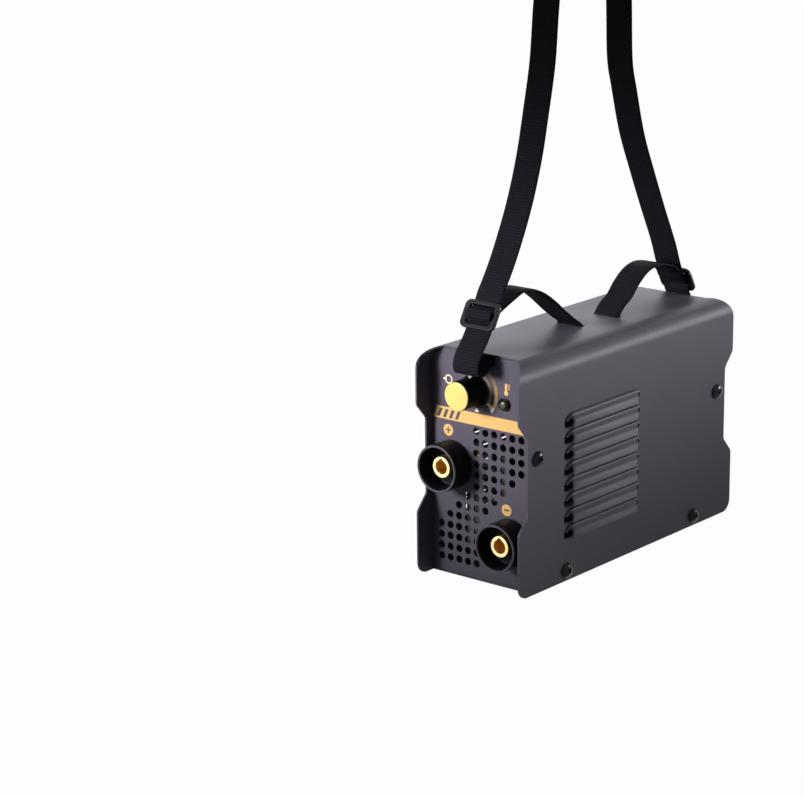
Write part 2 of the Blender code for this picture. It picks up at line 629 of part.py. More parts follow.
def build_socket(word, across, height):
    """One welding socket: insulating collar, brass contact, ring nut, output bar and its bolt."""
    place = (across, -PANEL_Y, height)
    bore = CONTACT_RADIUS + GAP
    cup = SOCKET_RADIUS - SOCKET_WALL
    lip = 0.25 * SOCKET_WALL
    front = SOCKET_PROTRUSION
    body = [(SOCKET_RADIUS - lip, front), (SOCKET_RADIUS, front - lip), (SOCKET_RADIUS, GAP),
            (SOCKET_THREAD_RADIUS, GAP), (SOCKET_THREAD_RADIUS, -SOCKET_TAIL), (bore, -SOCKET_TAIL),
            (bore, SOCKET_FLOOR), (cup, SOCKET_FLOOR), (cup, front - lip), (cup + lip, front)]
    turned(f"{word}_socket_body", body, SOCKET_BLACK, 24, place, FACING_FRONT, closed=True)

    face = front - CONTACT_RECESS
    chamfer = 0.0006
    bolt_bore = BOLT_RADIUS + GAP
    contact = turned(f"{word}_contact", [
        (0, face - CONTACT_BORE_DEPTH), (CONTACT_BORE_RADIUS, face - CONTACT_BORE_DEPTH),
        (CONTACT_BORE_RADIUS, face), (CONTACT_RADIUS - chamfer, face), (CONTACT_RADIUS, face - chamfer),
        (CONTACT_RADIUS, -CONTACT_TAIL), (bolt_bore, -CONTACT_TAIL),
        (bolt_bore, -CONTACT_TAIL + CONTACT_BOLT_HOLE_DEPTH), (0, -CONTACT_TAIL + CONTACT_BOLT_HOLE_DEPTH)],
        BRASS, 20, place, FACING_FRONT)
    key_end = -PANEL_Y - face
    keyway = add_box(bmesh.new(), (across - KEYWAY_WIDTH / 2, key_end - chamfer, height),
                     (across + KEYWAY_WIDTH / 2, key_end + KEYWAY_LENGTH,
                      height + CONTACT_BORE_RADIUS + KEYWAY_DEPTH / 2))
    cut(contact, keyway, f"{word}_keyway")

    nut_front = -BEHIND_PANEL
    nut_back = nut_front - SOCKET_NUT_THICKNESS
    inside = SOCKET_THREAD_RADIUS + GAP
    turned(f"{word}_socket_nut", [
        (SOCKET_NUT_RADIUS, nut_front), (SOCKET_NUT_RADIUS, nut_back), (inside, nut_back), (inside, nut_front)],
        SOCKET_BLACK, 24, place, FACING_FRONT, closed=True)

    bar_front = -PANEL_Y + CONTACT_TAIL + GAP
    bar = as_part(f"{word}_output_bar", add_box(
        bmesh.new(), (across - BAR_WIDTH / 2, bar_front, PARTS_FLOOR),
        (across + BAR_WIDTH / 2, bar_front + BAR_THICKNESS, height + BAR_OVERLAP)), COPPER)
    hole = add_cylinder(bmesh.new(), (across, height), bolt_bore, bar_front - BAR_THICKNESS,
                        bar_front + 2 * BAR_THICKNESS, "Y", 12)
    cut(bar, hole, f"{word}_bar_hole")
    seat = -(CONTACT_TAIL + 2 * GAP + BAR_THICKNESS)
    tip = -CONTACT_TAIL + BOLT_REACH
    turned(f"{word}_output_bolt", [
        (0, tip), (BOLT_RADIUS, tip), (BOLT_RADIUS, seat), (BOLT_HEAD_RADIUS, seat),
        (BOLT_HEAD_RADIUS, seat - BOLT_HEAD_HEIGHT), (0, seat - BOLT_HEAD_HEIGHT)],
        STEEL, 6, place, FACING_FRONT)


def build_knob():
    """Knob, cap and shaft turn together about the potentiometer's axis."""
    place = (KNOB_X, -PANEL_Y, KNOB_Z)
    pin_floor = KNOB_LENGTH - KNOB_CAP_PIN_LENGTH - GAP
    pin_hole = KNOB_CAP_PIN_RADIUS + GAP
    shaft_hole = SHAFT_RADIUS + GAP
    round_edge = 0.0004
    waist = 0.35 * KNOB_LENGTH
    flare = 0.15 * KNOB_LENGTH
    turned("current_knob", [
        (0, pin_floor), (pin_hole, pin_floor), (pin_hole, KNOB_LENGTH),
        (KNOB_FRONT_RADIUS - round_edge, KNOB_LENGTH), (KNOB_FRONT_RADIUS, KNOB_LENGTH - round_edge),
        (KNOB_FRONT_RADIUS, waist), (KNOB_BASE_RADIUS - round_edge, flare), (KNOB_BASE_RADIUS, KNOB_CLEARANCE),
        (KNOB_SKIRT_RADIUS, KNOB_CLEARANCE), (KNOB_SKIRT_RADIUS, KNOB_SKIRT_DEPTH),
        (shaft_hole, KNOB_SKIRT_DEPTH), (shaft_hole, SHAFT_REACH + GAP), (0, SHAFT_REACH + GAP)],
        SOCKET_BLACK, 24, place, FACING_FRONT)
    seat = KNOB_LENGTH + GAP
    crown = seat + KNOB_CAP_THICKNESS
    rim = KNOB_FRONT_RADIUS - GAP
    turned("knob_cap", [
        (0, crown), (0.6 * rim, crown - 0.06 * KNOB_CAP_THICKNESS), (0.92 * rim, crown - 0.28 * KNOB_CAP_THICKNESS),
        (rim, crown - 0.6 * KNOB_CAP_THICKNESS),
        (rim, seat), (KNOB_CAP_PIN_RADIUS, seat), (KNOB_CAP_PIN_RADIUS, KNOB_LENGTH - KNOB_CAP_PIN_LENGTH),
        (0, KNOB_LENGTH - KNOB_CAP_PIN_LENGTH)], YELLOW, 24, place, FACING_FRONT)
    turned("potentiometer_shaft", [
        (0, SHAFT_REACH), (SHAFT_RADIUS, SHAFT_REACH), (SHAFT_RADIUS, -SHAFT_TAIL), (0, -SHAFT_TAIL)],
        STEEL, 16, place, FACING_FRONT)

    bush = SHAFT_RADIUS + GAP + BUSH_WALL
    bottom = -SHAFT_TAIL - GAP
    turned("potentiometer_body", [
        (0, bottom), (SHAFT_RADIUS + GAP, bottom), (SHAFT_RADIUS + GAP, BUSH_LENGTH), (bush, BUSH_LENGTH),
        (bush, -BEHIND_PANEL), (POT_RADIUS, -BEHIND_PANEL), (POT_RADIUS, -BEHIND_PANEL - POT_DEPTH),
        (0, -BEHIND_PANEL - POT_DEPTH)], STEEL, 20, place, FACING_FRONT)
    corner = POT_NUT_FLATS / math.sqrt(3)
    nut_start = -PANEL_Y - GAP
    nut = as_part("potentiometer_nut", add_cylinder(
        bmesh.new(), (KNOB_X, KNOB_Z), corner, nut_start - POT_NUT_THICKNESS, nut_start, "Y", 6), STEEL)
    bore = add_cylinder(bmesh.new(), (KNOB_X, KNOB_Z), bush + GAP,
                        nut_start - 2 * POT_NUT_THICKNESS, nut_start + POT_NUT_THICKNESS, "Y", 16)
    cut(nut, bore, "potentiometer_nut_bore")


def build_lamp():
    place = (LAMP_X, -PANEL_Y, LAMP_Z)
    bore = LAMP_LENS_RADIUS + GAP
    top = GAP + LAMP_FLANGE_THICKNESS
    bevel = 0.3 * LAMP_FLANGE_THICKNESS
    turned("lamp_bezel", [
        (LAMP_FLANGE_RADIUS - bevel, top), (LAMP_FLANGE_RADIUS, top - bevel), (LAMP_FLANGE_RADIUS, GAP),
        (LAMP_BODY_RADIUS, GAP), (LAMP_BODY_RADIUS, -LAMP_TAIL), (bore, -LAMP_TAIL), (bore, top)],
        SOCKET_BLACK, 16, place, FACING_FRONT, closed=True)
    dome = [(LAMP_LENS_RADIUS * math.sin(math.radians(step)), top + LAMP_DOME * math.cos(math.radians(step)))
            for step in (0, 30, 60, 90)]
    turned("lamp_lens", dome + [(LAMP_LENS_RADIUS, -LAMP_TAIL), (0, -LAMP_TAIL)], GREEN_LENS, 16,
           place, FACING_FRONT)


def heatsink_outline():
    """Comb section: an upright wall with level fins pointing outwards."""
    top = PARTS_FLOOR + HEATSINK_HEIGHT
    step = (HEATSINK_HEIGHT - FIN_THICKNESS) / (HEATSINK_FINS - 1)
    root = HEATSINK_INNER + HEATSINK_WALL
    outline = [(HEATSINK_INNER, top), (HEATSINK_INNER, PARTS_FLOOR)]
    for index in range(HEATSINK_FINS):
        low = PARTS_FLOOR + index * step
        if index:
            outline.append((root, low))
        outline += [(HEATSINK_OUTER, low), (HEATSINK_OUTER, low + FIN_THICKNESS)]
        if index < HEATSINK_FINS - 1:
            outline.append((root, low + FIN_THICKNESS))
    return outline


def build_inside():
    board_low = (-MAIN_BOARD_WIDTH / 2, BOARD_START, MAIN_BOARD_HEIGHT)
    as_part("main_board", add_box(bmesh.new(), board_low, (MAIN_BOARD_WIDTH / 2, BOARD_END, BOARD_TOP)), BOARD_GREEN)
    ends = {"front": BOARD_START + STANDOFF_INSET, "rear": BOARD_END - STANDOFF_INSET}
    for side, across in (("left", -1), ("right", 1)):
        for end, along in ends.items():
            centre = (across * (MAIN_BOARD_WIDTH / 2 - STANDOFF_INSET), along)
            as_part(f"standoff_{end}_{side}", add_cylinder(
                bmesh.new(), centre, STANDOFF_RADIUS, SHEET + GAP, MAIN_BOARD_HEIGHT - GAP, "Z", 6), STEEL)

    for side, place in (("right", list), ("left", mirrored)):
        as_part(f"heatsink_{side}", add_prism(
            bmesh.new(), place(heatsink_outline()), HEATSINK_START, HEATSINK_END, "Y"), ALUMINIUM)

    front = -PANEL_Y + BEHIND_PANEL + POT_DEPTH + GAP
    as_part("control_board", add_box(
        bmesh.new(), (-CONTROL_BOARD_WIDTH / 2, front, KNOB_Z - CONTROL_BOARD_DROP),
        (CONTROL_BOARD_WIDTH / 2, front + BOARD_THICKNESS, KNOB_Z + CONTROL_BOARD_RISE)), BOARD_GREEN)

    half_depth = CORE_DEPTH / 2
    half_core = CORE_WIDTH / 2
    core = as_part("transformer_core", add_box(
        bmesh.new(), (-half_core, CORE_Y - half_depth, PARTS_FLOOR),
        (half_core, CORE_Y + half_depth, PARTS_FLOOR + CORE_HEIGHT)), FERRITE)
    windows = bmesh.new()
    window_low = PARTS_FLOOR + CORE_LEG
    window_high = PARTS_FLOOR + CORE_HEIGHT - CORE_LEG
    for side in (-1, 1):
        edges = sorted((side * CORE_LEG, side * (half_core - CORE_LEG)))
        add_box(windows, (edges[0], CORE_Y - CORE_DEPTH, window_low), (edges[1], CORE_Y + CORE_DEPTH, window_high))
    cut(core, windows, "core_windows")
    outer = half_core - CORE_LEG - GAP
    winding = as_part("transformer_winding", add_box(
        bmesh.new(), (-outer, CORE_Y - WINDING_DEPTH / 2, window_low + GAP),
        (outer, CORE_Y + WINDING_DEPTH / 2, window_high - GAP)), VARNISH)
    leg = CORE_LEG + GAP
    centre_leg = add_box(bmesh.new(), (-leg, CORE_Y - half_depth - GAP, PARTS_FLOOR),
                         (leg, CORE_Y + half_depth + GAP, PARTS_FLOOR + CORE_HEIGHT))
    cut(winding, centre_leg, "winding_centre")

    groove = 0.0006
    for side, across in (("left", -CAPACITOR_X), ("right", CAPACITOR_X)):
        turned(f"bus_capacitor_{side}", [
            (0, CAPACITOR_HEIGHT), (CAPACITOR_RADIUS - groove, CAPACITOR_HEIGHT),
            (CAPACITOR_RADIUS, CAPACITOR_HEIGHT - groove), (CAPACITOR_RADIUS, 0), (0, 0)],
            SLEEVE, 16, (across, CAPACITOR_Y, PARTS_FLOOR), (0, 0, 0))


def fan_screw_places():
    return [(across * FAN_SCREW_OFFSET, FAN_HEIGHT + up * FAN_SCREW_OFFSET)
            for across in (-1, 1) for up in (-1, 1)]


def build_fan():
    half = FAN_SIZE / 2
    front = FAN_BACK - FAN_DEPTH
    frame = as_part("fan_frame", add_box(bmesh.new(), (-half, front, FAN_HEIGHT - half),
                                         (half, FAN_BACK, FAN_HEIGHT + half)), SOCKET_BLACK)
    tunnel = add_cylinder(bmesh.new(), (0, FAN_HEIGHT), FAN_BORE, front - FAN_RIM, FAN_BACK + FAN_RIM, "Y", 28)
    cut(frame, tunnel, "fan_tunnel")
    spider = bmesh.new()
    spider_front = FAN_BACK - FAN_SPIDER
    add_cylinder(spider, (0, FAN_HEIGHT), FAN_HUB_RADIUS, spider_front, FAN_BACK, "Y", 20)
    join(frame, spider, "fan_motor_seat")
    struts = bmesh.new()
    half_strut = FAN_STRUT / 2
    reach = half - FAN_RIM / 4
    inset = FAN_SPIDER / 4
    add_box(struts, (-reach, spider_front + inset, FAN_HEIGHT - half_strut),
            (reach, FAN_BACK - inset, FAN_HEIGHT + half_strut))
    join(frame, struts, "fan_level_strut")
    upright = add_box(bmesh.new(), (-half_strut, spider_front + inset, FAN_HEIGHT - reach),
                      (half_strut, FAN_BACK - inset, FAN_HEIGHT + reach))
    join(frame, upright, "fan_upright_strut")
    holes = add_cylinder(bmesh.new(), (0, FAN_HEIGHT), FAN_AXLE_RADIUS + GAP,
                         front, FAN_BACK + FAN_SPIDER, "Y", 12)
    for place in fan_screw_places():
        add_cylinder(holes, place, SCREW_HOLE_RADIUS, front - FAN_RIM, FAN_BACK + FAN_RIM, "Y", 12)
    cut(frame, holes, "fan_holes")

    hub_back = -FAN_SPIDER - 2 * GAP
    hub_front = -FAN_DEPTH + 2 * FAN_SPIDER / 3
    edge = 0.001
    rotor = turned("fan_rotor", [
        (0, -GAP), (FAN_AXLE_RADIUS, -GAP), (FAN_AXLE_RADIUS, hub_back), (FAN_HUB_RADIUS, hub_back),
        (FAN_HUB_RADIUS, hub_front + edge), (FAN_HUB_RADIUS - edge, hub_front), (0, hub_front)],
        SOCKET_BLACK, 20, (0, FAN_BACK, FAN_HEIGHT), FACING_REAR)
    blades = bmesh.new()
    tip = FAN_BORE - FAN_TIP_CLEARANCE
    root = 0.8 * FAN_HUB_RADIUS
    chord = 0.86 * (hub_back - hub_front) / math.sin(math.radians(FAN_BLADE_PITCH))
    middle = FAN_BACK + (hub_back + hub_front) / 2
    for index in range(FAN_BLADES):
        turn = Matrix.Rotation(2 * math.pi * index / FAN_BLADES, 4, "Y")
        tilt = Matrix.Rotation(math.radians(FAN_BLADE_PITCH), 4, "X")
        shape = Matrix.Diagonal((tip - root, min(chord, FAN_HUB_RADIUS), FAN_BLADE_THICKNESS, 1.0))
        out = Matrix.Translation(((tip + root) / 2, 0, 0))
        bmesh.ops.create_cube(blades, size=1.0, matrix=(
            Matrix.Translation((0, middle, FAN_HEIGHT)) @ turn @ out @ tilt @ shape))
    join(rotor, blades, "fan_blades")


def build_switch():
    """Rocker switch clipped in the rear panel; the rocker tips about a level axis."""
    seat = PANEL_Y + GAP
    half_width = SWITCH_WIDTH / 2
    half_height = SWITCH_HEIGHT / 2
    frame = as_part("switch_frame", add_box(
        bmesh.new(), (SWITCH_X - half_width, PANEL_Y - SWITCH_DEPTH, SWITCH_Z - half_height),
        (SWITCH_X + half_width, seat + SWITCH_FLANGE / 2, SWITCH_Z + half_height)), SOCKET_BLACK)
    lip = SWITCH_FLANGE
    flange = add_box(bmesh.new(), (SWITCH_X - half_width - lip, seat, SWITCH_Z - half_height - lip),
                     (SWITCH_X + half_width + lip, seat + SWITCH_FLANGE, SWITCH_Z + half_height + lip))
    join(frame, flange, "switch_flange")
    rocker_half = ROCKER_HEIGHT / 2
    proud = 0.0042
    sweep = math.hypot(rocker_half, proud)
    well_half = sweep + ROCKER_CLEARANCE / 2
    well = add_box(bmesh.new(), (SWITCH_X - ROCKER_WIDTH / 2 - ROCKER_CLEARANCE, PANEL_Y - 0.6 * SWITCH_DEPTH,
                                 SWITCH_Z - well_half),
                   (SWITCH_X + ROCKER_WIDTH / 2 + ROCKER_CLEARANCE, seat + 2 * SWITCH_FLANGE,
                    SWITCH_Z + well_half))
    cut(frame, well, "switch_well")

    dip = 0.45 * proud
    keel = 0.8 * proud
    outline = [(proud, -rocker_half), (dip, 0), (proud, rocker_half), (-keel, 0.8 * rocker_half),
               (-keel, -0.8 * rocker_half)]
    half_rocker = ROCKER_WIDTH / 2
    as_part("switch_rocker", add_prism(bmesh.new(), outline, -half_rocker, half_rocker, "X"), RED_ROCKER,
            (SWITCH_X, PANEL_Y - SWITCH_FLANGE / 2, SWITCH_Z), (math.radians(-ROCKER_TILT), 0, 0))


def build_gland():
    place = (GLAND_X, PANEL_Y, GLAND_Z)
    flange = 0.18 * GLAND_LENGTH
    dome = 0.72 * GLAND_LENGTH
    body = 0.9 * GLAND_FLANGE_RADIUS
    turned("cable_gland", [
        (GLAND_BORE_RADIUS + 0.0015, GLAND_LENGTH), (body - 0.001, dome), (body, dome - 0.001), (body, flange),
        (GLAND_FLANGE_RADIUS, flange), (GLAND_FLANGE_RADIUS, GAP), (GLAND_THREAD_RADIUS, GAP),
        (GLAND_THREAD_RADIUS, -GLAND_TAIL), (GLAND_BORE_RADIUS, -GLAND_TAIL), (GLAND_BORE_RADIUS, GLAND_LENGTH)],
        SOCKET_BLACK, 20, place, FACING_REAR, closed=True)
    bore = GLAND_THREAD_RADIUS + GAP
    nut_back = -BEHIND_PANEL - GLAND_NUT_THICKNESS
    turned("cable_gland_nut", [
        (GLAND_FLANGE_RADIUS, -BEHIND_PANEL), (GLAND_FLANGE_RADIUS, nut_back), (bore, nut_back),
        (bore, -BEHIND_PANEL)], SOCKET_BLACK, 20, place, FACING_REAR, closed=True)


def buckle_point(centre, tilt, outward, along, away):
    """A point of a buckle's own plane: along runs up the web, away points out of the case."""
    lean = math.radians(tilt)
    return (centre[0], centre[1] - outward * along * math.sin(lean) + outward * away * math.cos(lean),
            centre[2] + along * math.cos(lean) + away * math.sin(lean))


def web_through_buckle(centre, tilt, outward):
    """The web from below the buckle to above it: behind the outer bars, over the middle one."""
    behind = BUCKLE_THICKNESS / 2 + STRAP_THICKNESS / 2 + WEB_CLEARANCE
    middle = BUCKLE_MIDDLE_BAR / 2
    outer = BUCKLE_HEIGHT / 2 - BUCKLE_BAR
    clear = BUCKLE_HEIGHT / 2 + 2 * BUCKLE_BAR
    above = [(middle, behind), ((middle + outer) / 2, 0), (outer, -behind), (clear, -behind)]
    weave = [(-along, away) for along, away in above[::-1]] + above
    return [buckle_point(centre, tilt, outward, along, away) for along, away in weave]


def tail_in_buckle(centre, tilt, outward):
    """The web's end, tucked behind the buckle's middle bar."""
    behind = BUCKLE_THICKNESS / 2 + STRAP_THICKNESS / 2 + WEB_CLEARANCE
    return [buckle_point(centre, tilt, outward, -0.001, -behind),
            buckle_point(centre, tilt, outward, 0.0018, -behind - WEB_CLEARANCE)]


def buckle_places():
    """Centres of the front and the rear buckle."""
    return ((0, -PANEL_Y + FRONT_BUCKLE[0], CASE_HEIGHT + FRONT_BUCKLE[1]),
            (REAR_STRAP_SIDE, PANEL_Y + REAR_BUCKLE[0], CASE_HEIGHT + REAR_BUCKLE[1]))


def strap_route():
    """Centre line of the web, from its front end over the arch to its rear end."""
    top = CASE_HEIGHT
    front_slot = -PANEL_Y + FRONT_SLOT_SETBACK
    rear_slot = PANEL_Y - REAR_SLOT_SETBACK
    front_centre, rear_centre = buckle_places()

    front_tail = [(0.0046, 0.0246), (0.0110, 0.0274), (0.0219, 0.0314), (0.0313, 0.0342), (0.0410, 0.0333),
                  (0.0513, 0.0292), (0.0620, 0.0225), (0.0760, 0.0118)]
    front_hairpin = [(-0.0058, 0.0045), (-0.0016, 0.0019), (0.0001, -0.0004), (-0.0005, -0.0025),
                     (-0.0035, -0.0036), (-0.0115, -0.0037)]
    front_under = [(0.0450, -0.0037), (0.0090, -0.0037)]
    front_fold = [(0.0006, -0.0042), (-0.0030, -0.0070), (-0.0068, -0.0102), (-0.0110, -0.0116),
                  (-0.0146, -0.0102), (-0.0156, -0.0055), (-0.0134, 0.0006)]
    front_leg = [(0.0150, 0.0441), (0.0235, 0.0578), (0.0376, 0.0858), (0.0480, 0.1144), (0.0553, 0.1435),
                 (0.0616, 0.1725)]
    rear_leg = [(-0.0618, 0.1628), (-0.0588, 0.1472), (-0.0501, 0.1150), (-0.0397, 0.0897), (-0.0285, 0.0642),
                (-0.0163, 0.0379)]
    rear_fold = [(0.0064, -0.0084), (0.0068, -0.0114), (0.0052, -0.0130), (0.0036, -0.0110), (0.0022, -0.0074),
                 (-0.0003, -0.0046), (-0.0040, -0.0038)]
    rear_under = [(-0.0430, -0.0037), (-0.0690, -0.0037)]
    rear_hairpin = [(0.0031, -0.0036), (0.0001, -0.0025), (-0.0005, -0.0004), (0.0011, 0.0019), (0.0054, 0.0058)]
    rear_tail = [(-0.0660, 0.0104), (-0.0586, 0.0174), (-0.0485, 0.0240), (-0.0380, 0.0266), (-0.0280, 0.0258),
                 (-0.0170, 0.0224), (-0.0096, 0.0168), (-0.0068, 0.0124)]

    def front(origin, offsets):
        return [(0, origin + along, top + up) for along, up in offsets]

    def rear(origin, offsets):
        return [(REAR_STRAP_SIDE, origin + along, top + up) for along, up in offsets]

    left_foot = -PANEL_Y + front_leg[-1][0] + 0.0045
    right_foot = PANEL_Y + rear_leg[0][0] - 0.0030
    half_span = (right_foot - left_foot) / 2
    spring = top + STRAP_ARCH_HEIGHT - half_span
    crown = [(0, *point) for point in arc(((left_foot + right_foot) / 2, spring), half_span, 180, 0, 6)]
    steps = len(rear_leg) - 1
    sloping_leg = [(REAR_STRAP_SIDE * step / steps, PANEL_Y + along, top + up)
                   for step, (along, up) in enumerate(rear_leg)]

    route = tail_in_buckle(front_centre, FRONT_BUCKLE_TILT, -1)
    route += front(-PANEL_Y, front_tail) + front(front_slot, front_hairpin) + front(-PANEL_Y, front_under)
    route += front(-PANEL_Y, front_fold) + web_through_buckle(front_centre, FRONT_BUCKLE_TILT, -1)
    route += front(-PANEL_Y, front_leg) + crown + sloping_leg
    route += web_through_buckle(rear_centre, REAR_BUCKLE_TILT, 1)[::-1] + rear(PANEL_Y, rear_fold)
    route += rear(PANEL_Y, rear_under) + rear(rear_slot, rear_hairpin) + rear(PANEL_Y, rear_tail)
    return route + tail_in_buckle(rear_centre, REAR_BUCKLE_TILT, 1)[::-1]


def smooth_curve(points, steps):
    """Centripetal Catmull-Rom curve through the points, with the same steps in each span."""
    knots = [Vector(point) for point in points]
    knots = [2 * knots[0] - knots[1]] + knots + [2 * knots[-1] - knots[-2]]
    curve = []
    for index in range(1, len(knots) - 2):
        before, start, end, after = knots[index - 1:index + 3]
        times = [0.0]
        for first, second in ((before, start), (start, end), (end, after)):
            times.append(times[-1] + math.sqrt((second - first).length))
        for step in range(steps):
            now = times[1] + (times[2] - times[1]) * step / steps
            a1 = before.lerp(start, (now - times[0]) / (times[1] - times[0]))
            a2 = start.lerp(end, (now - times[1]) / (times[2] - times[1]))
            a3 = end.lerp(after, (now - times[2]) / (times[3] - times[2]))
            b1 = a1.lerp(a2, (now - times[0]) / (times[2] - times[0]))
            b2 = a2.lerp(a3, (now - times[1]) / (times[3] - times[1]))
            curve.append(b1.lerp(b2, (now - times[1]) / (times[2] - times[1])))
    curve.append(knots[-2])
    return curve


def build_strap():
    """One web from end to end: an open ribbon along the route, thickened by Solidify."""
    bm = bmesh.new()
    half = STRAP_WIDTH / 2
    rows = []
    for across, along, height in smooth_curve(strap_route(), STRAP_STEPS):
        rows.append([bm.verts.new((across - half, along, height)), bm.verts.new((across + half, along, height))])
    edges = [bm.edges.new(row) for row in rows]
    for first, second in zip(edges, edges[1:]):
        bmesh.ops.bridge_loops(bm, edges=[first, second])
    strap = as_part("carry_strap", bm, WEBBING)
    thicken = strap.modifiers.new("thickness", "SOLIDIFY")
    thicken.thickness = STRAP_THICKNESS
    thicken.offset = 0.0
    thicken.use_even_offset = True


def build_buckle(name, centre, tilt, outward):
    """Slide buckle: a rounded frame with a middle bar between two windows."""
    half_width = BUCKLE_WIDTH / 2
    half_height = BUCKLE_HEIGHT / 2
    half_thickness = BUCKLE_THICKNESS / 2
    frame = add_box(bmesh.new(), (-half_width, -half_thickness, -half_height),
                    (half_width, half_thickness, half_height))
    buckle = as_part(name, frame, SOCKET_BLACK, centre, (math.radians(outward * tilt), 0, 0))
    bevel = buckle.modifiers.new("round", "BEVEL")
    bevel.width = BUCKLE_ROUND
    bevel.segments = 2
    windows = bmesh.new()
    reach = half_width - BUCKLE_RIM
    lean = Matrix.Translation(centre) @ Matrix.Rotation(math.radians(outward * tilt), 4, "X")
    for side in (-1, 1):
        edges = sorted((side * BUCKLE_MIDDLE_BAR / 2, side * (half_height - BUCKLE_BAR)))
        add_box(windows, (-reach, -BUCKLE_THICKNESS, edges[0]), (reach, BUCKLE_THICKNESS, edges[1]))
    bmesh.ops.transform(windows, matrix=lean, verts=windows.verts)
    cut(buckle, windows, name + "_windows")


build_cover()
build_base_plate()
build_front_panel()
build_rear_panel()
build_screws()
for word, (across, height) in socket_places().items():
    build_socket(word, across, height)
build_knob()
build_lamp()
build_inside()
build_fan()
build_switch()
build_gland()
build_strap()
build_buckle("front_buckle", buckle_places()[0], FRONT_BUCKLE_TILT, -1)
build_buckle("rear_buckle", buckle_places()[1], REAR_BUCKLE_TILT, 1)
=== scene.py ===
"""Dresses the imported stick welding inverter: folded case, fittings, printed marks and webbing strap.

Metres, +Z up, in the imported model's own frame: the front panel looks towards -Y.
"""
import math

import bmesh
import bpy
from mathutils import Matrix, Vector


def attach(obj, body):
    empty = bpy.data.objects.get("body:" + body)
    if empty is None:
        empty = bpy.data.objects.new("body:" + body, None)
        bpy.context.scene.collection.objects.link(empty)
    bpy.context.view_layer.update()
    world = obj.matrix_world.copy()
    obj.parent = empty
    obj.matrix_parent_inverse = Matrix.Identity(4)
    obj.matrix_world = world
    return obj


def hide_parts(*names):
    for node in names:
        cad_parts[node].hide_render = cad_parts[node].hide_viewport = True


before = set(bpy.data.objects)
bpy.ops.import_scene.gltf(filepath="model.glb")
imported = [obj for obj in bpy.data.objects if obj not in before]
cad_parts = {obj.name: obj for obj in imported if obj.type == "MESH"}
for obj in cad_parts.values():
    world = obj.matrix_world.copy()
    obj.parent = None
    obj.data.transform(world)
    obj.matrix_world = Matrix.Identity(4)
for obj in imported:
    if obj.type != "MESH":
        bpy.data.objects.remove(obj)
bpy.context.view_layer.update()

# Camera, from the fit to the case's edges
CAMERA_PLACE = (0.97661, -1.33158, 0.55644)
CAMERA_AZIMUTH = 40.287
CAMERA_ELEVATION = 15.514
CAMERA_ROLL = -0.672
CAMERA_LENS = 117.239

# Case, as in the part's source
HALF_WIDTH = 0.041
HALF_LENGTH = 0.118
CASE_HEIGHT = 0.150
SHEET = 0.0012
GAP = 0.0003
BEND_RADIUS = 0.012
EAR_DEPTH = 0.015
EAR_FOOT_RADIUS = 0.008
NOTCH_DEPTH = 0.009
NOTCH_SLANT = 0.010
NOTCH_LOW = 0.0425
NOTCH_HIGH = 0.1125
PANEL_Y = HALF_LENGTH - EAR_DEPTH
INNER_HALF = HALF_WIDTH - SHEET - GAP
CEILING = CASE_HEIGHT - SHEET
FOOT_DEPTH = 0.012
TAB_DEPTH = 0.011
TAB_HEIGHT = 0.016
TAB_SCREW_HEIGHT = 0.088
EDGE_ROUND = 0.00025
PANEL_EDGE_ROUND = 0.0004

# Louvres: a rolled bead over a hood with a waist and a flared lip
LOUVRE_COUNT = 8
LOUVRE_PITCH = 0.0104
LOUVRE_TOP = 0.110
LOUVRE_HEIGHT = 0.0085
LOUVRE_WINDOW_FRONT = -0.0716
LOUVRE_WINDOW_REAR = 0.0072
LOUVRE_WINDOW_ROUND = 0.0045
LOUVRE_WALL = 0.0008
BEAD_REAR = 0.0080
BEAD_FRONT_CURVE = 0.0085
BEAD_FRONT_SWEEP = 62
BEAD_REAR_CURVE = 0.0036
BEAD_DROP = 0.0022
BEAD_SECTION = ((-0.0003, 0.00015), (0.0004, 0.00012), (0.0013, 0.0), (0.0019, -0.00025), (0.00225, -0.00075),
                (0.00235, -0.0015))
BEAD_FADE = ((30, 0.85), (42, 0.8), (50, 0.7), (57, 0.5))
HOOD_FRONT = -0.0622
HOOD_REAR = 0.0052
HOOD_SLANT = 1.3
HOOD_WAIST = 0.0016
HOOD_MIDDLE = -0.0068
HOOD_SECTION = ((0.00235, -0.0014), (0.00225, -0.0021), (0.0020, -0.0029), (0.00175, -0.0037), (HOOD_WAIST, -0.0044),
                (0.00165, -0.0050), (0.00195, -0.0058), (0.0025, -0.0069), (0.0031, -0.0080), (0.0036, -0.0088))
HOOD_ENDS = ((-0.00015, 0.0007, 0.95), (-0.0003, 0.0005, 0.86), (-0.0004, 0.0003, 0.72))

# Vent holes
VENT_COLUMN_PITCH = 0.0071
VENT_ROW_PITCH = 0.0073
VENT_RADIUS = 0.0025
VENT_SOCKET_GAP = 0.0006
VENT_ROWS = 13
VENT_HALF_COLUMNS = 5
VENT_BOTTOM = 0.0109
VENT_MIDDLE = -0.0043
VENT_RIGHT_DIAGONAL = 8
VENT_LEFT_DIAGONAL = 5

# Fittings of the front panel
SOCKET_PLACES = {"positive": (-0.0232, 0.074), "negative": (0.0232, 0.031)}
SOCKET_RADIUS = 0.0155
SOCKET_RIM = 0.017
SOCKET_CUP = 0.0133
SOCKET_FLOOR = 0.004
CONTACT_RADIUS = 0.0069
CONTACT_FACE = 0.012
CONTACT_BORE = 0.0045
CONTACT_BORE_DEPTH = 0.020
KNOB_PLACE = (-0.0054, 0.1246)
KNOB_LENGTH = 0.0175
KNOB_RADIUS = 0.0095
KNOB_BASE = 0.0108
LAMP_PLACE = (0.0184, 0.1198)
LAMP_RADIUS = 0.0041
LAMP_LENS = 0.0025
LAMP_BODY = 0.0033

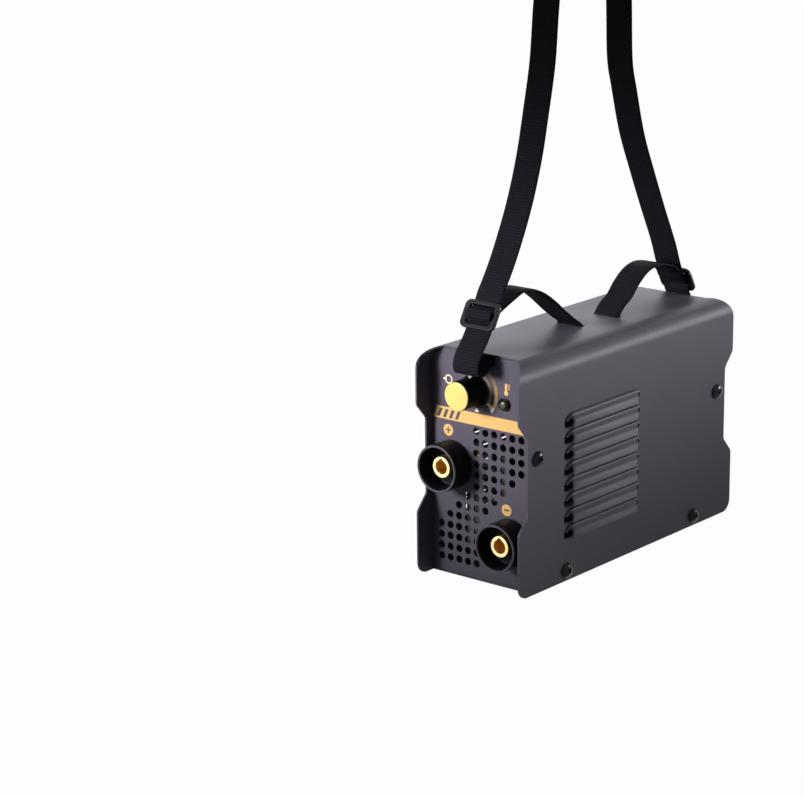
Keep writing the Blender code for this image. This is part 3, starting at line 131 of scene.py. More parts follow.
# Fittings of the rear panel
FAN_HEIGHT = 0.054
FAN_SCREW_OFFSET = 0.030
AIR_HOLE_RADIUS = 0.003
AIR_RING_STEP = 0.009
SWITCH_PLACE = (-0.016, 0.122)
GLAND_PLACE = (0.018, 0.122)

# Webbing strap and slide buckles
STRAP_WIDTH = 0.020
STRAP_THICKNESS = 0.0014
STRAP_ARCH_HEIGHT = 0.250
RIB_PITCH = 0.0019
RINGS_PER_RIB = 4
REAR_STRAP_SIDE = 0.0045
FRONT_SLOT = -0.0107
REAR_SLOT = 0.0235
SLOT_LENGTH = 0.0212
SLOT_WIDTH = 0.005
PANEL_NOTCH = 0.0058
BUCKLE_WIDTH = 0.027
BUCKLE_HEIGHT = 0.0185
BUCKLE_THICKNESS = 0.0024
BUCKLE_BAR = 0.0030
BUCKLE_MIDDLE_BAR = 0.0030
WEB_CLEARANCE = 0.0006
FRONT_BUCKLE = (0, -PANEL_Y - 0.0007, CASE_HEIGHT + 0.0238)
FRONT_BUCKLE_TILT = 30.0
REAR_BUCKLE = (REAR_STRAP_SIDE, PANEL_Y - 0.0006, CASE_HEIGHT + 0.0106)
REAR_BUCKLE_TILT = 28.6

FACING_FRONT = (math.radians(90), 0, 0)
FACING_REAR = (math.radians(-90), 0, 0)
FACING_RIGHT = (0, math.radians(90), 0)
FACING_LEFT = (0, math.radians(-90), 0)


def take(*objects):
    """Takes objects in hand, the first of them active, and lets everything else go."""
    bpy.ops.object.select_all(action="DESELECT")
    for item in objects:
        item.select_set(True)
    bpy.context.view_layer.objects.active = objects[0]


def edit(item):
    take(item)
    bpy.ops.object.mode_set(mode="EDIT")
    bpy.ops.mesh.select_mode(type="VERT")


def leave():
    bpy.ops.object.mode_set(mode="OBJECT")


def pick(item, kind, test):
    """In edit mode, selects only the vertices, edges or faces that pass a test."""
    bpy.ops.mesh.select_mode(type=kind)
    bpy.ops.mesh.select_all(action="DESELECT")
    shape = bmesh.from_edit_mesh(item.data)
    for part in {"VERT": shape.verts, "EDGE": shape.edges, "FACE": shape.faces}[kind]:
        part.select_set(bool(test(part)))
    shape.select_flush_mode()
    bmesh.update_edit_mesh(item.data)


def settle(item):
    """Puts an object's place, turn and size into its mesh."""
    take(item)
    bpy.ops.object.transform_apply(location=True, rotation=True, scale=True)
    return item


def block(name, low, high):
    """A cube brought to two corners."""
    bpy.ops.object.select_all(action="DESELECT")
    low = Vector(low)
    high = Vector(high)
    bpy.ops.mesh.primitive_cube_add(size=1.0, location=(low + high) / 2)
    made = bpy.context.object
    made.name = name
    made.scale = high - low
    return settle(made)


def rod(name, start, end, radius, sides):
    """A cylinder between two places."""
    bpy.ops.object.select_all(action="DESELECT")
    start = Vector(start)
    reach = Vector(end) - start
    bpy.ops.mesh.primitive_cylinder_add(vertices=sides, radius=radius, depth=reach.length,
                                        location=start + reach / 2,
                                        rotation=reach.to_track_quat("Z", "Y").to_euler())
    made = bpy.context.object
    made.name = name
    return settle(made)


def line_of(name, points):
    """A lone vertex pulled along a line of points; stays in edit mode."""
    bpy.ops.object.select_all(action="DESELECT")
    bpy.ops.mesh.primitive_plane_add(size=0.001)
    made = bpy.context.object
    made.name = name
    bpy.ops.object.mode_set(mode="EDIT")
    bpy.ops.mesh.select_mode(type="VERT")
    bpy.ops.mesh.merge(type="CENTER")
    bpy.ops.transform.translate(value=points[0])
    for before, after in zip(points, points[1:]):
        step = Vector(after) - Vector(before)
        bpy.ops.mesh.extrude_vertices_move(TRANSFORM_OT_translate={"value": step})
    return made


def mend():
    """Merges doubles and turns the faces outwards, in edit mode."""
    bpy.ops.mesh.select_all(action="SELECT")
    bpy.ops.mesh.remove_doubles(threshold=0.000001)
    bpy.ops.mesh.normals_make_consistent(inside=False)


def spread(axis, first, second, along):
    """A point from two outline coordinates and its distance along an axis."""
    order = {"X": (along, first, second), "Y": (first, along, second), "Z": (first, second, along)}
    return Vector(order[axis])


def slab(name, outline, axis, start, end):
    """A flat outline drawn point by point, filled, and pulled along an axis."""
    made = line_of(name, [spread(axis, first, second, start) for first, second in outline])
    bpy.ops.mesh.select_all(action="SELECT")
    bpy.ops.mesh.edge_face_add()
    bpy.ops.mesh.extrude_region_move(TRANSFORM_OT_translate={"value": spread(axis, 0, 0, end - start)})
    mend()
    leave()
    return made


def turned(name, profile, place, facing, steps=64, closed=False):
    """A profile of (radius, height) spun about its axis and set in place."""
    points = [(radius, 0, height) for radius, height in profile]
    if closed:
        points.append(points[0])
    made = line_of(name, points)
    bpy.ops.mesh.select_all(action="SELECT")
    bpy.ops.mesh.spin(steps=steps, angle=math.tau, center=(0, 0, 0), axis=(0, 0, 1))
    mend()
    leave()
    made.rotation_euler = facing
    made.location = place
    settle(made)
    smooth(made, 40)
    return made


def modify(item, kind, **settings):
    """Adds a modifier, sets it and applies it."""
    take(item)
    made = item.modifiers.new(kind.lower(), kind)
    for word, value in settings.items():
        setattr(made, word, value)
    bpy.ops.object.modifier_apply(modifier=made.name)


def carve(item, cutter, operation="DIFFERENCE"):
    modify(item, "BOOLEAN", object=cutter, operation=operation, solver="EXACT")
    bpy.data.objects.remove(cutter, do_unlink=True)


def join(name, items):
    take(*items)
    bpy.ops.object.join()
    items[0].name = name
    return items[0]


def copy_of(item, name, shift=(0, 0, 0), turn=(0, 0, 0)):
    """A copy with its own mesh, turned and then shifted."""
    made = item.copy()
    made.data = item.data.copy()
    made.name = name
    bpy.context.scene.collection.objects.link(made)
    made.rotation_euler = turn
    made.location = shift
    return settle(made)


def mirrored_copy(item, name):
    """The same piece on the other side of the middle plane."""
    made = item.copy()
    made.data = item.data.copy()
    made.name = name
    bpy.context.scene.collection.objects.link(made)
    made.scale = (-1, 1, 1)
    settle(made)
    edit(made)
    mend()
    leave()
    return made


def smooth(item, angle):
    take(item)
    bpy.ops.object.shade_smooth_by_angle(angle=math.radians(angle))


def soften(item, width, segments=2, angle=40):
    """Rounds the sharp edges and keeps the flat faces flat in the shading."""
    take(item)
    bpy.ops.object.shade_smooth()
    modify(item, "BEVEL", width=width, segments=segments, limit_method="ANGLE",
           angle_limit=math.radians(angle), harden_normals=True)


def arc(centre, radius, start, end, steps):
    """Points of a circular arc between two angles in degrees."""
    points = []
    for step in range(steps + 1):
        angle = math.radians(start + (end - start) * step / steps)
        points.append((centre[0] + radius * math.cos(angle), centre[1] + radius * math.sin(angle)))
    return points


def eased(points, radius, steps=4, closed=False):
    """A flat line of points with its corners rounded."""
    line = [Vector(point) for point in points]
    ends = [line[-1]] + line + [line[0]] if closed else line
    rounded = [] if closed else [line[0]]
    for before, corner, after in zip(ends, ends[1:], ends[2:]):
        back = before - corner
        ahead = after - corner
        start = corner + back.normalized() * min(radius, 0.45 * back.length)
        end = corner + ahead.normalized() * min(radius, 0.45 * ahead.length)
        for step in range(steps + 1):
            share = step / steps
            rounded.append(start.lerp(corner, share).lerp(corner.lerp(end, share), share))
    return rounded if closed else rounded + [line[-1]]


def flipped(outline):
    return [(-first, second) for first, second in outline]


class Socket:
    """An output socket of a finish, so that shader maths reads as Python."""

    def __init__(self, finish, link):
        self.finish = finish
        self.link = link

    def maths(self, operation, first, second=0.0):
        return self.finish.node("ShaderNodeMath", {"operation": operation}, {0: first, 1: second})

    def __add__(self, other):
        return self.maths("ADD", self, other)

    def __radd__(self, other):
        return self.maths("ADD", other, self)

    def __sub__(self, other):
        return self.maths("SUBTRACT", self, other)

    def __rsub__(self, other):
        return self.maths("SUBTRACT", other, self)

    def __mul__(self, other):
        return self.maths("MULTIPLY", self, other)

    def __rmul__(self, other):
        return self.maths("MULTIPLY", other, self)

    def __truediv__(self, other):
        return self.maths("DIVIDE", self, other)

    def __gt__(self, other):
        return self.maths("GREATER_THAN", self, other)

    def __lt__(self, other):
        return self.maths("LESS_THAN", self, other)

    def wave(self):
        return self.maths("SINE", self)

    def share(self, low, high):
        """Runs from 0 to 1 between two values, and no further."""
        return self.finish.node("ShaderNodeMapRange", {"clamp": True},
                                {"Value": self, "From Min": low, "From Max": high})


class Nodes:
    """A node tree to which nodes are added by type."""

    def __init__(self, owner):
        owner.use_nodes = True
        self.tree = owner.node_tree

    def node(self, kind, settings, inputs, output=0):
        made = self.tree.nodes.new(kind)
        for word, value in settings.items():
            if word == "stops":
                for stop, (place, shade) in zip(made.color_ramp.elements, value):
                    stop.position = place
                    stop.color = (*shade, 1.0)
            else:
                setattr(made, word, value)
        for place, value in inputs.items():
            if isinstance(value, Socket):
                self.tree.links.new(value.link, made.inputs[place])
            else:
                made.inputs[place].default_value = value
        return Socket(self, made.outputs[output])

    def seen(self):
        """One for the rays that show the surroundings: camera, mirrored and see-through ones."""
        straight, mirrored, through = [
            self.node("ShaderNodeLightPath", {}, {}, word)
            for word in ("Is Camera Ray", "Is Glossy Ray", "Is Transmission Ray")]
        return (straight + mirrored + through) > 0.5


class Finish(Nodes):
    """A Principled material; numbers that are the same all over are set on the shader itself."""

    def __init__(self, name, colour, roughness, metallic=0.0, **constants):
        self.material = bpy.data.materials.new(name)
        super().__init__(self.material)
        self.shader = self.tree.nodes["Principled BSDF"]
        self.shader.inputs["Base Color"].default_value = (*colour, 1.0)
        self.shader.inputs["Roughness"].default_value = roughness
        self.shader.inputs["Metallic"].default_value = metallic
        for word, value in constants.items():
            self.shader.inputs[word.replace("_", " ").title().replace("Ior", "IOR")].default_value = value
        self.material.diffuse_color = (*colour, 1.0)

    def feed(self, word, value):
        self.tree.links.new(value.link, self.shader.inputs[word])

    def place(self):
        return self.node("ShaderNodeTexCoord", {}, {}, "Object")

    def axes(self, vector):
        """The three coordinates of a vector."""
        return [self.node("ShaderNodeSeparateXYZ", {}, {0: vector}, index) for index in range(3)]

    def noise(self, scale, detail=2.0, vector=None, roughness=0.5):
        return self.node("ShaderNodeTexNoise", {}, {
            "Vector": vector or self.place(), "Scale": scale, "Detail": detail, "Roughness": roughness}, "Fac")

    def stretched(self, scale, vector=None):
        """Coordinates drawn out along chosen axes."""
        return self.node("ShaderNodeMapping", {}, {"Vector": vector or self.place(), "Scale": scale})

    def between(self, factor, first, second):
        """A colour between two others."""
        inputs = {0: factor}
        for socket, colour in ((6, first), (7, second)):
            inputs[socket] = colour if isinstance(colour, Socket) else (*colour, 1.0)
        return self.node("ShaderNodeMix", {"data_type": "RGBA"}, inputs, 2)

    def bump(self, height, strength, distance):
        made = self.node("ShaderNodeBump", {}, {"Height": height, "Strength": strength, "Distance": distance})
        self.feed("Normal", made)


def finish_coat():
    """Charcoal powder coat: satin, with a fine orange-peel skin and a slight cloudiness."""
    made = Finish("charcoal_powder_coat", (0.082, 0.073, 0.097), 0.50, Specular_IOR_Level=0.14)
    cloud = made.noise(28, 3)
    made.feed("Base Color", made.between(cloud.share(0.3, 0.7), (0.078, 0.069, 0.093), (0.086, 0.077, 0.101)))
    made.feed("Roughness", cloud.share(0.25, 0.75) * 0.07 + 0.465)
    peel = made.noise(1100, 2) + made.noise(420, 1) * 0.7
    made.bump(peel, 0.16, 0.00012)
    return made


def finish_black_moulding(name, shade, roughness, grain, gloss):
    """Black moulded plastic with a fine spark-eroded grain."""
    made = Finish(name, (shade, shade, 1.25 * shade), roughness, Specular_IOR_Level=gloss)
    mottle = made.noise(60, 2)
    made.feed("Roughness", mottle.share(0.3, 0.7) * 0.10 + (roughness - 0.05))
    made.bump(made.noise(grain, 2), 0.12, 0.00008)
    return made


def finish_collar():
    """Black moulding with a painted highlight: its lip is coloured a paler grey to stand in for light catching the
    rim.
    """
    made = finish_black_moulding("collar_black", 0.006, 0.36, 1600, 0.08)
    along = made.axes(made.place())[1]
    # Painted highlight: the lip's paler grey stands in for the light that catches the collar's rim.
    lip = along.share(-PANEL_Y - SOCKET_RIM + 0.0010, -PANEL_Y - SOCKET_RIM + 0.0002)
    made.feed("Base Color", made.between(lip, (0.006, 0.006, 0.0080), (0.080, 0.078, 0.095)))
    return made


def finish_metal(name, dark, light, roughness, grain=(1.0, 1.0, 1.0)):
    """Bare metal with faint drawn or rolled streaks along one axis."""
    made = Finish(name, light, roughness, 1.0)
    streaks = made.noise(900, 3, made.stretched(grain))
    stain = made.noise(45, 3)
    made.feed("Base Color", made.between(stain.share(0.35, 0.75), light, dark))
    made.feed("Roughness", streaks.share(0.3, 0.7) * 0.16 + (roughness - 0.08))
    made.bump(streaks, 0.10, 0.00005)
    return made


def finish_brass(name, place):
    """Turned brass: tool rings round the contact's own axis, and painted shade that darkens it down its bore."""
    made = Finish(name, (0.95, 0.76, 0.38), 0.42, 1.0)
    across, along, up = made.axes(made.place())
    side = across - place[0]
    rise = up - place[1]
    radius = made.node("ShaderNodeMath", {"operation": "SQRT"}, {0: side * side + rise * rise})
    rings = (radius * 16000).wave()
    # Painted shade: the brass is coloured darker down the bore, where little light reaches.
    depth = along.share(-PANEL_Y - CONTACT_FACE + 0.0004, -PANEL_Y - CONTACT_FACE + 0.0030)
    made.feed("Base Color", made.between(depth, (0.95, 0.76, 0.38), (0.80, 0.52, 0.14)))
    made.feed("Roughness", made.noise(300, 2).share(0.3, 0.7) * 0.08 + 0.38)
    made.bump(rings, 0.03, 0.00003)
    return made


def finish_plain(name, colour, roughness, vary, scale, grain, **constants):
    """A painted, printed or moulded colour with slight clouding and a fine skin."""
    made = Finish(name, colour, roughness, **constants)
    cloud = made.noise(scale, 3)
    lower = tuple(channel * (1 - vary) for channel in colour)
    upper = tuple(min(channel * (1 + vary), 1.0) for channel in colour)
    made.feed("Base Color", made.between(cloud.share(0.3, 0.7), lower, upper))
    made.feed("Roughness", cloud.share(0.2, 0.8) * 0.10 + (roughness - 0.05))
    made.bump(made.noise(grain, 2), 0.10, 0.00006)
    return made


def finish_scale_and_shadow():
    """Scale print in gold, with a painted shadow that darkens it to dark bronze towards its end, standing in for the
    knob's and strap's shadow.
    """
    made = Finish("scale_print_and_shadow", (0.22, 0.14, 0.04), 0.50)
    height = made.axes(made.place())[2]
    # Painted shadow: the colour darkens with height, where the knob and strap shade the scale.
    rise = height + made.noise(220, 3) * 0.002
    made.feed("Base Color", made.between(rise.share(0.115, 0.137), (0.52, 0.33, 0.10), (0.10, 0.065, 0.018)))
    made.bump(made.noise(2600, 2), 0.10, 0.00006)
    return made


def finish_board():
    """Green circuit board with tracks under the lacquer."""
    made = Finish("circuit_board", (0.02, 0.13, 0.06), 0.40)
    across, along, up = made.axes(made.place())
    lanes = (across * 2200).wave() * (along * 700).wave() + (up * 900).wave() * 0.4
    made.feed("Base Color", made.between(lanes.share(0.1, 0.35), (0.012, 0.09, 0.04), (0.05, 0.22, 0.09)))
    made.bump(lanes.share(0.1, 0.35), 0.2, 0.0001)
    return made


def finish_winding():
    """Yellow tape wound round a coil, its turns side by side."""
    made = Finish("winding_tape", (0.70, 0.52, 0.12), 0.5)
    across, along, up = made.axes(made.place())
    turns = (along * 900).wave()
    made.feed("Base Color", made.between(turns.share(-1, 1), (0.45, 0.30, 0.05), (0.75, 0.56, 0.14)))
    made.bump(turns, 0.5, 0.0003)
    return made


def finish_webbing():
    """Black webbing from its own map: ribs across the web, warp threads along it, rough selvedges."""
    made = Finish("black_webbing", (0.008, 0.008, 0.009), 0.80, Specular_IOR_Level=0.05)
    web = made.node("ShaderNodeUVMap", {"uv_map": "web"}, {})
    across, along, _ = made.axes(web)
    threads = (across * (math.tau / 0.00125)).wave()
    ribs = (along * (math.tau / RIB_PITCH) + threads * 1.1).wave()
    fuzz = made.noise(5200, 2, web)
    weave = ribs * 0.5 + threads * 0.25 + fuzz * 0.5
    made.feed("Base Color", made.between(weave.share(-0.5, 0.9), (0.002, 0.002, 0.003), (0.015, 0.014, 0.020)))
    made.feed("Roughness", fuzz.share(0.3, 0.7) * 0.2 + 0.66)
    made.bump(weave, 0.55, 0.00025)
    return made


COAT = finish_coat()
SOCKET_BLACK = finish_black_moulding("socket_black", 0.006, 0.36, 1600, 0.08)
COLLAR_BLACK = finish_collar()
KNOB_BLACK = finish_black_moulding("knob_black", 0.003, 0.44, 1400, 0.05)
BUCKLE_BLACK = finish_black_moulding("buckle_black", 0.007, 0.36, 1300, 0.14)
SCREW_BLACK = finish_metal("black_oxide", (0.006, 0.006, 0.007), (0.018, 0.018, 0.021), 0.24)
STEEL = finish_metal("zinc_steel", (0.42, 0.42, 0.44), (0.60, 0.60, 0.62), 0.34)
ALUMINIUM = finish_metal("aluminium", (0.82, 0.83, 0.85), (0.93, 0.94, 0.95), 0.22, (1.0, 0.06, 1.0))
# Painted shade: a black copy of the aluminium for the right heatsink, so that the louvre openings in front of it read
# dark.
SHADE_BLACK_ALUMINIUM = finish_metal("shade_black_aluminium", (0.010, 0.010, 0.012), (0.022, 0.022, 0.024), 0.40, (1.0, 0.06, 1.0))
TINNED = finish_metal("tinned_copper", (0.50, 0.47, 0.44), (0.70, 0.68, 0.65), 0.36, (1.0, 1.0, 0.08))
YELLOW = finish_plain("yellow_plastic", (0.72, 0.57, 0.16), 0.34, 0.03, 90, 1500)
GOLD_PRINT = finish_plain("gold_print", (0.67, 0.41, 0.12), 0.50, 0.05, 220, 2600)
SCALE_PRINT_AND_SHADOW = finish_scale_and_shadow()
CREAM_PRINT = finish_plain("cream_print", (0.85, 0.74, 0.55), 0.45, 0.04, 220, 2600)
WHITE_PRINT = finish_plain("white_print", (0.80, 0.80, 0.78), 0.45, 0.04, 220, 2600)
GREEN_LENS = finish_plain("green_lens", (0.050, 0.060, 0.014), 0.30, 0.10, 300, 900)
RED_PLASTIC = finish_plain("red_plastic", (0.50, 0.03, 0.02), 0.32, 0.05, 90, 1500)
FERRITE = finish_plain("ferrite", (0.035, 0.035, 0.040), 0.66, 0.20, 260, 1300)
SLEEVE = finish_plain("capacitor_sleeve", (0.03, 0.03, 0.05), 0.34, 0.08, 60, 900)
BOARD = finish_board()
WINDING = finish_winding()
WEBBING = finish_webbing()


def dress(item, finish, body, slot, *nodes):
    """Gives a piece its finish and its body, and hides the CAD nodes it stands for."""
    item.data.materials.clear()
    item.data.materials.append(finish.material)
    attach(item, body)
    if nodes:
        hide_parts(*nodes)
    return item


def buckle_point(centre, tilt, outward, along, away):
    """A point of a buckle's own plane: along runs up the web, away points out of the case."""
    lean = math.radians(tilt)
    return (centre[0], centre[1] - outward * along * math.sin(lean) + outward * away * math.cos(lean),
            centre[2] + along * math.cos(lean) + away * math.sin(lean))


def web_through_buckle(centre, tilt, outward):
    """The web from below the buckle to above it: behind the outer bars, over the middle one."""
    behind = BUCKLE_THICKNESS / 2 + STRAP_THICKNESS / 2 + WEB_CLEARANCE
    middle = BUCKLE_MIDDLE_BAR / 2
    outer = BUCKLE_HEIGHT / 2 - BUCKLE_BAR
    clear = BUCKLE_HEIGHT / 2 + 2 * BUCKLE_BAR
    above = [(middle, behind), ((middle + outer) / 2, 0), (outer, -behind), (clear, -behind)]
    weave = [(-along, away) for along, away in above[::-1]] + above
    return [buckle_point(centre, tilt, outward, along, away) for along, away in weave]


def tail_in_buckle(centre, tilt, outward):
    """The web's end, tucked behind the buckle's middle bar."""
    behind = BUCKLE_THICKNESS / 2 + STRAP_THICKNESS / 2 + WEB_CLEARANCE
    return [buckle_point(centre, tilt, outward, -0.001, -behind),
            buckle_point(centre, tilt, outward, 0.0018, -behind - WEB_CLEARANCE)]


def strap_route():
    """Centre line of the web, from its front end over the arch to its rear end."""
    top = CASE_HEIGHT
    front_tail = [(0.0046, 0.0246), (0.0110, 0.0274), (0.0219, 0.0314), (0.0313, 0.0342), (0.0410, 0.0333),
                  (0.0513, 0.0292), (0.0620, 0.0225), (0.0760, 0.0118)]
    front_hairpin = [(-0.0058, 0.0045), (-0.0016, 0.0019), (0.0001, -0.0004), (-0.0005, -0.0025),
                     (-0.0035, -0.0036), (-0.0115, -0.0037)]
    front_under = [(0.0450, -0.0037), (0.0090, -0.0037)]
    front_fold = [(0.0006, -0.0042), (-0.0030, -0.0070), (-0.0068, -0.0102), (-0.0110, -0.0116),
                  (-0.0146, -0.0102), (-0.0156, -0.0055), (-0.0134, 0.0006)]
    front_leg = [(0.0150, 0.0441), (0.0235, 0.0578), (0.0376, 0.0858), (0.0480, 0.1144), (0.0553, 0.1435),
                 (0.0616, 0.1725)]
    rear_leg = [(-0.0618, 0.1628), (-0.0588, 0.1472), (-0.0501, 0.1150), (-0.0397, 0.0897), (-0.0285, 0.0642),
                (-0.0163, 0.0379)]
    rear_fold = [(0.0064, -0.0084), (0.0068, -0.0114), (0.0052, -0.0130), (0.0036, -0.0110), (0.0022, -0.0074),
                 (-0.0003, -0.0046), (-0.0040, -0.0038)]
    rear_under = [(-0.0430, -0.0037), (-0.0690, -0.0037)]
    rear_hairpin = [(0.0031, -0.0036), (0.0001, -0.0025), (-0.0005, -0.0004), (0.0011, 0.0019), (0.0054, 0.0058)]
    rear_tail = [(-0.0660, 0.0104), (-0.0586, 0.0174), (-0.0485, 0.0240), (-0.0380, 0.0266), (-0.0280, 0.0258),
                 (-0.0170, 0.0224), (-0.0096, 0.0168), (-0.0068, 0.0124)]

    def front(origin, offsets):
        return [(0, origin + along, top + up) for along, up in offsets]

    def rear(origin, offsets):
        return [(REAR_STRAP_SIDE, origin + along, top + up) for along, up in offsets]

    left_foot = -PANEL_Y + front_leg[-1][0] + 0.0045
    right_foot = PANEL_Y + rear_leg[0][0] - 0.0030
    half_span = (right_foot - left_foot) / 2
    spring = top + STRAP_ARCH_HEIGHT - half_span
    crown = [(0, *point) for point in arc(((left_foot + right_foot) / 2, spring), half_span, 180, 0, 6)]
    steps = len(rear_leg) - 1
    sloping_leg = [(REAR_STRAP_SIDE * step / steps, PANEL_Y + along, top + up)
                   for step, (along, up) in enumerate(rear_leg)]

    route = tail_in_buckle(FRONT_BUCKLE, FRONT_BUCKLE_TILT, -1)
    route += front(-PANEL_Y, front_tail) + front(FRONT_SLOT, front_hairpin) + front(-PANEL_Y, front_under)
    route += front(-PANEL_Y, front_fold) + web_through_buckle(FRONT_BUCKLE, FRONT_BUCKLE_TILT, -1)
    route += front(-PANEL_Y, front_leg) + crown + sloping_leg
    route += web_through_buckle(REAR_BUCKLE, REAR_BUCKLE_TILT, 1)[::-1] + rear(PANEL_Y, rear_fold)
    route += rear(PANEL_Y, rear_under) + rear(REAR_SLOT, rear_hairpin) + rear(PANEL_Y, rear_tail)
    return route + tail_in_buckle(REAR_BUCKLE, REAR_BUCKLE_TILT, 1)[::-1]


def smooth_curve(points, steps):
    """Centripetal Catmull-Rom curve through the points, with the same steps in each span."""
    knots = [Vector(point) for point in points]
    knots = [2 * knots[0] - knots[1]] + knots + [2 * knots[-1] - knots[-2]]
    curve = []
    for index in range(1, len(knots) - 2):
        before, start, end, after = knots[index - 1:index + 3]
        times = [0.0]
        for first, second in ((before, start), (start, end), (end, after)):
            times.append(times[-1] + math.sqrt((second - first).length))
        for step in range(steps):
            now = times[1] + (times[2] - times[1]) * step / steps
            a1 = before.lerp(start, (now - times[0]) / (times[1] - times[0]))
            a2 = start.lerp(end, (now - times[1]) / (times[2] - times[1]))
            a3 = end.lerp(after, (now - times[2]) / (times[3] - times[2]))
            b1 = a1.lerp(a2, (now - times[0]) / (times[2] - times[0]))
            b2 = a2.lerp(a3, (now - times[1]) / (times[3] - times[1]))
            curve.append(b1.lerp(b2, (now - times[1]) / (times[2] - times[1])))
    curve.append(knots[-2])
    return curve


def evenly(points, spacing):
    """The same line with its points at one spacing."""
    lengths = [0.0]
    for before, after in zip(points, points[1:]):
        lengths.append(lengths[-1] + (after - before).length)
    count = round(lengths[-1] / spacing)
    even = []
    span = 0
    for step in range(count + 1):
        reach = lengths[-1] * step / count
        while span < len(points) - 2 and lengths[span + 1] < reach:
            span += 1
        share = (reach - lengths[span]) / (lengths[span + 1] - lengths[span])
        even.append(points[span].lerp(points[span + 1], share))
    return even


def weave_strap():
    """One web along the route: ribbed rings with rounded selvedges, mapped in metres of web."""
    spacing = RIB_PITCH / RINGS_PER_RIB
    line = evenly(smooth_curve(strap_route(), 24), spacing)
    half = STRAP_WIDTH / 2
    section = [(-1.0, 0.35), (-0.965, 0.85), (-0.80, 1.0), (-0.4, 1.0), (0.0, 1.0), (0.4, 1.0), (0.80, 1.0),
               (0.965, 0.85), (1.0, 0.35)]
    section += [(across, -thick) for across, thick in section[::-1]]
    corners = []
    web_map = []
    for index, centre in enumerate(line):
        ahead = line[min(index + 1, len(line) - 1)]
        behind = line[max(index - 1, 0)]
        run = (ahead - behind).yz.normalized()
        rib = 0.93 + 0.07 * math.cos(math.tau * index / RINGS_PER_RIB)
        for across, thick in section:
            lift = thick * rib * STRAP_THICKNESS / 2
            corners.append((centre.x + across * half, centre.y - run.y * lift, centre.z + run.x * lift))
            web_map.append((across * half, index * spacing))
    ring = len(section)
    faces = [list(range(ring))[::-1]]
    for index in range(len(line) - 1):
        base = index * ring
        for corner in range(ring):
            after = (corner + 1) % ring
            faces.append((base + corner, base + after, base + ring + after, base + ring + corner))
    last = (len(line) - 1) * ring
    faces.append(list(range(last, last + ring)))
    mesh = bpy.data.meshes.new("carry_strap_web")
    mesh.from_pydata(corners, [], faces)
    layer = mesh.uv_layers.new(name="web")
    for loop in mesh.loops:
        layer.data[loop.index].uv = web_map[loop.vertex_index]
    strap = bpy.data.objects.new("carry_strap_web", mesh)
    bpy.context.scene.collection.objects.link(strap)
    edit(strap)
    bpy.ops.mesh.select_all(action="SELECT")
    bpy.ops.mesh.normals_make_consistent(inside=False)
    leave()
    smooth(strap, 60)
    return strap, [tuple(centre) for centre in line[::RINGS_PER_RIB]]


def model_buckle(name, centre, tilt, outward):
    """Slide buckle: a plate with round corners, two windows and softly rounded bars."""
    half_width = BUCKLE_WIDTH / 2
    half_height = BUCKLE_HEIGHT / 2
    half_thickness = BUCKLE_THICKNESS / 2
    buckle = block(name, (-half_width, -half_thickness, -half_height), (half_width, half_thickness, half_height))
    edit(buckle)
    pick(buckle, "EDGE", lambda edge: abs(edge.verts[0].co.y - edge.verts[1].co.y) > half_thickness)
    bpy.ops.mesh.bevel(offset=0.0042, segments=6, affect="EDGES")
    leave()
    reach = STRAP_WIDTH / 2 - 0.0003
    for side in (-1, 1):
        edges = sorted((side * BUCKLE_MIDDLE_BAR / 2, side * (half_height - BUCKLE_BAR)))
        window = block("window", (-reach, -BUCKLE_THICKNESS, edges[0]), (reach, BUCKLE_THICKNESS, edges[1]))
        edit(window)
        pick(window, "EDGE", lambda edge: abs(edge.verts[0].co.y - edge.verts[1].co.y) > half_thickness)
        bpy.ops.mesh.bevel(offset=0.0019, segments=4, affect="EDGES")
        leave()
        carve(buckle, window)
    soften(buckle, 0.0006, 3)
    buckle.rotation_euler = (math.radians(outward * tilt), 0, 0)
    buckle.location = centre
    return settle(buckle)


def wing_outline():
    """The side wall seen from the side, with ears, notches and round corners."""
    ear_corner = (-PANEL_Y, CASE_HEIGHT - EAR_DEPTH)
    foot_corner = (-HALF_LENGTH + EAR_FOOT_RADIUS, EAR_FOOT_RADIUS)
    notch = -HALF_LENGTH + NOTCH_DEPTH
    front = arc(foot_corner, EAR_FOOT_RADIUS, 270, 180, 10)
    cut = [front[-1], (-HALF_LENGTH, NOTCH_LOW), (notch, NOTCH_LOW + NOTCH_SLANT),
           (notch, NOTCH_HIGH - NOTCH_SLANT), (-HALF_LENGTH, NOTCH_HIGH), (-HALF_LENGTH, ear_corner[1])]
    front += [tuple(point) for point in eased(cut, 0.0018, 4)[1:-1]]
    front += arc(ear_corner, EAR_DEPTH, 180, 90, 16)
    return front + flipped(front)[::-1]


def top_edge_relief(sign):
    """Plan view of what goes beyond an end of the top sheet, so that its edge is square."""
    right = []
    for angle in range(0, 91, 6):
        across = HALF_WIDTH - BEND_RADIUS + BEND_RADIUS * math.cos(math.radians(angle))
        rise = EAR_DEPTH - BEND_RADIUS + BEND_RADIUS * math.sin(math.radians(angle))
        right.append((across, sign * (PANEL_Y + math.sqrt(max(EAR_DEPTH ** 2 - rise ** 2, 0)))))
    beyond = sign * (HALF_LENGTH + EAR_DEPTH)
    right = [(2 * HALF_WIDTH, beyond), (2 * HALF_WIDTH, right[0][1])] + right
    return right + flipped(right)[::-1]


def pull(inward, along):
    """Pulls the selected line on into a sheet, along the case and in or out."""
    bpy.ops.mesh.extrude_region_move(TRANSFORM_OT_translate={"value": (inward, along, 0)})


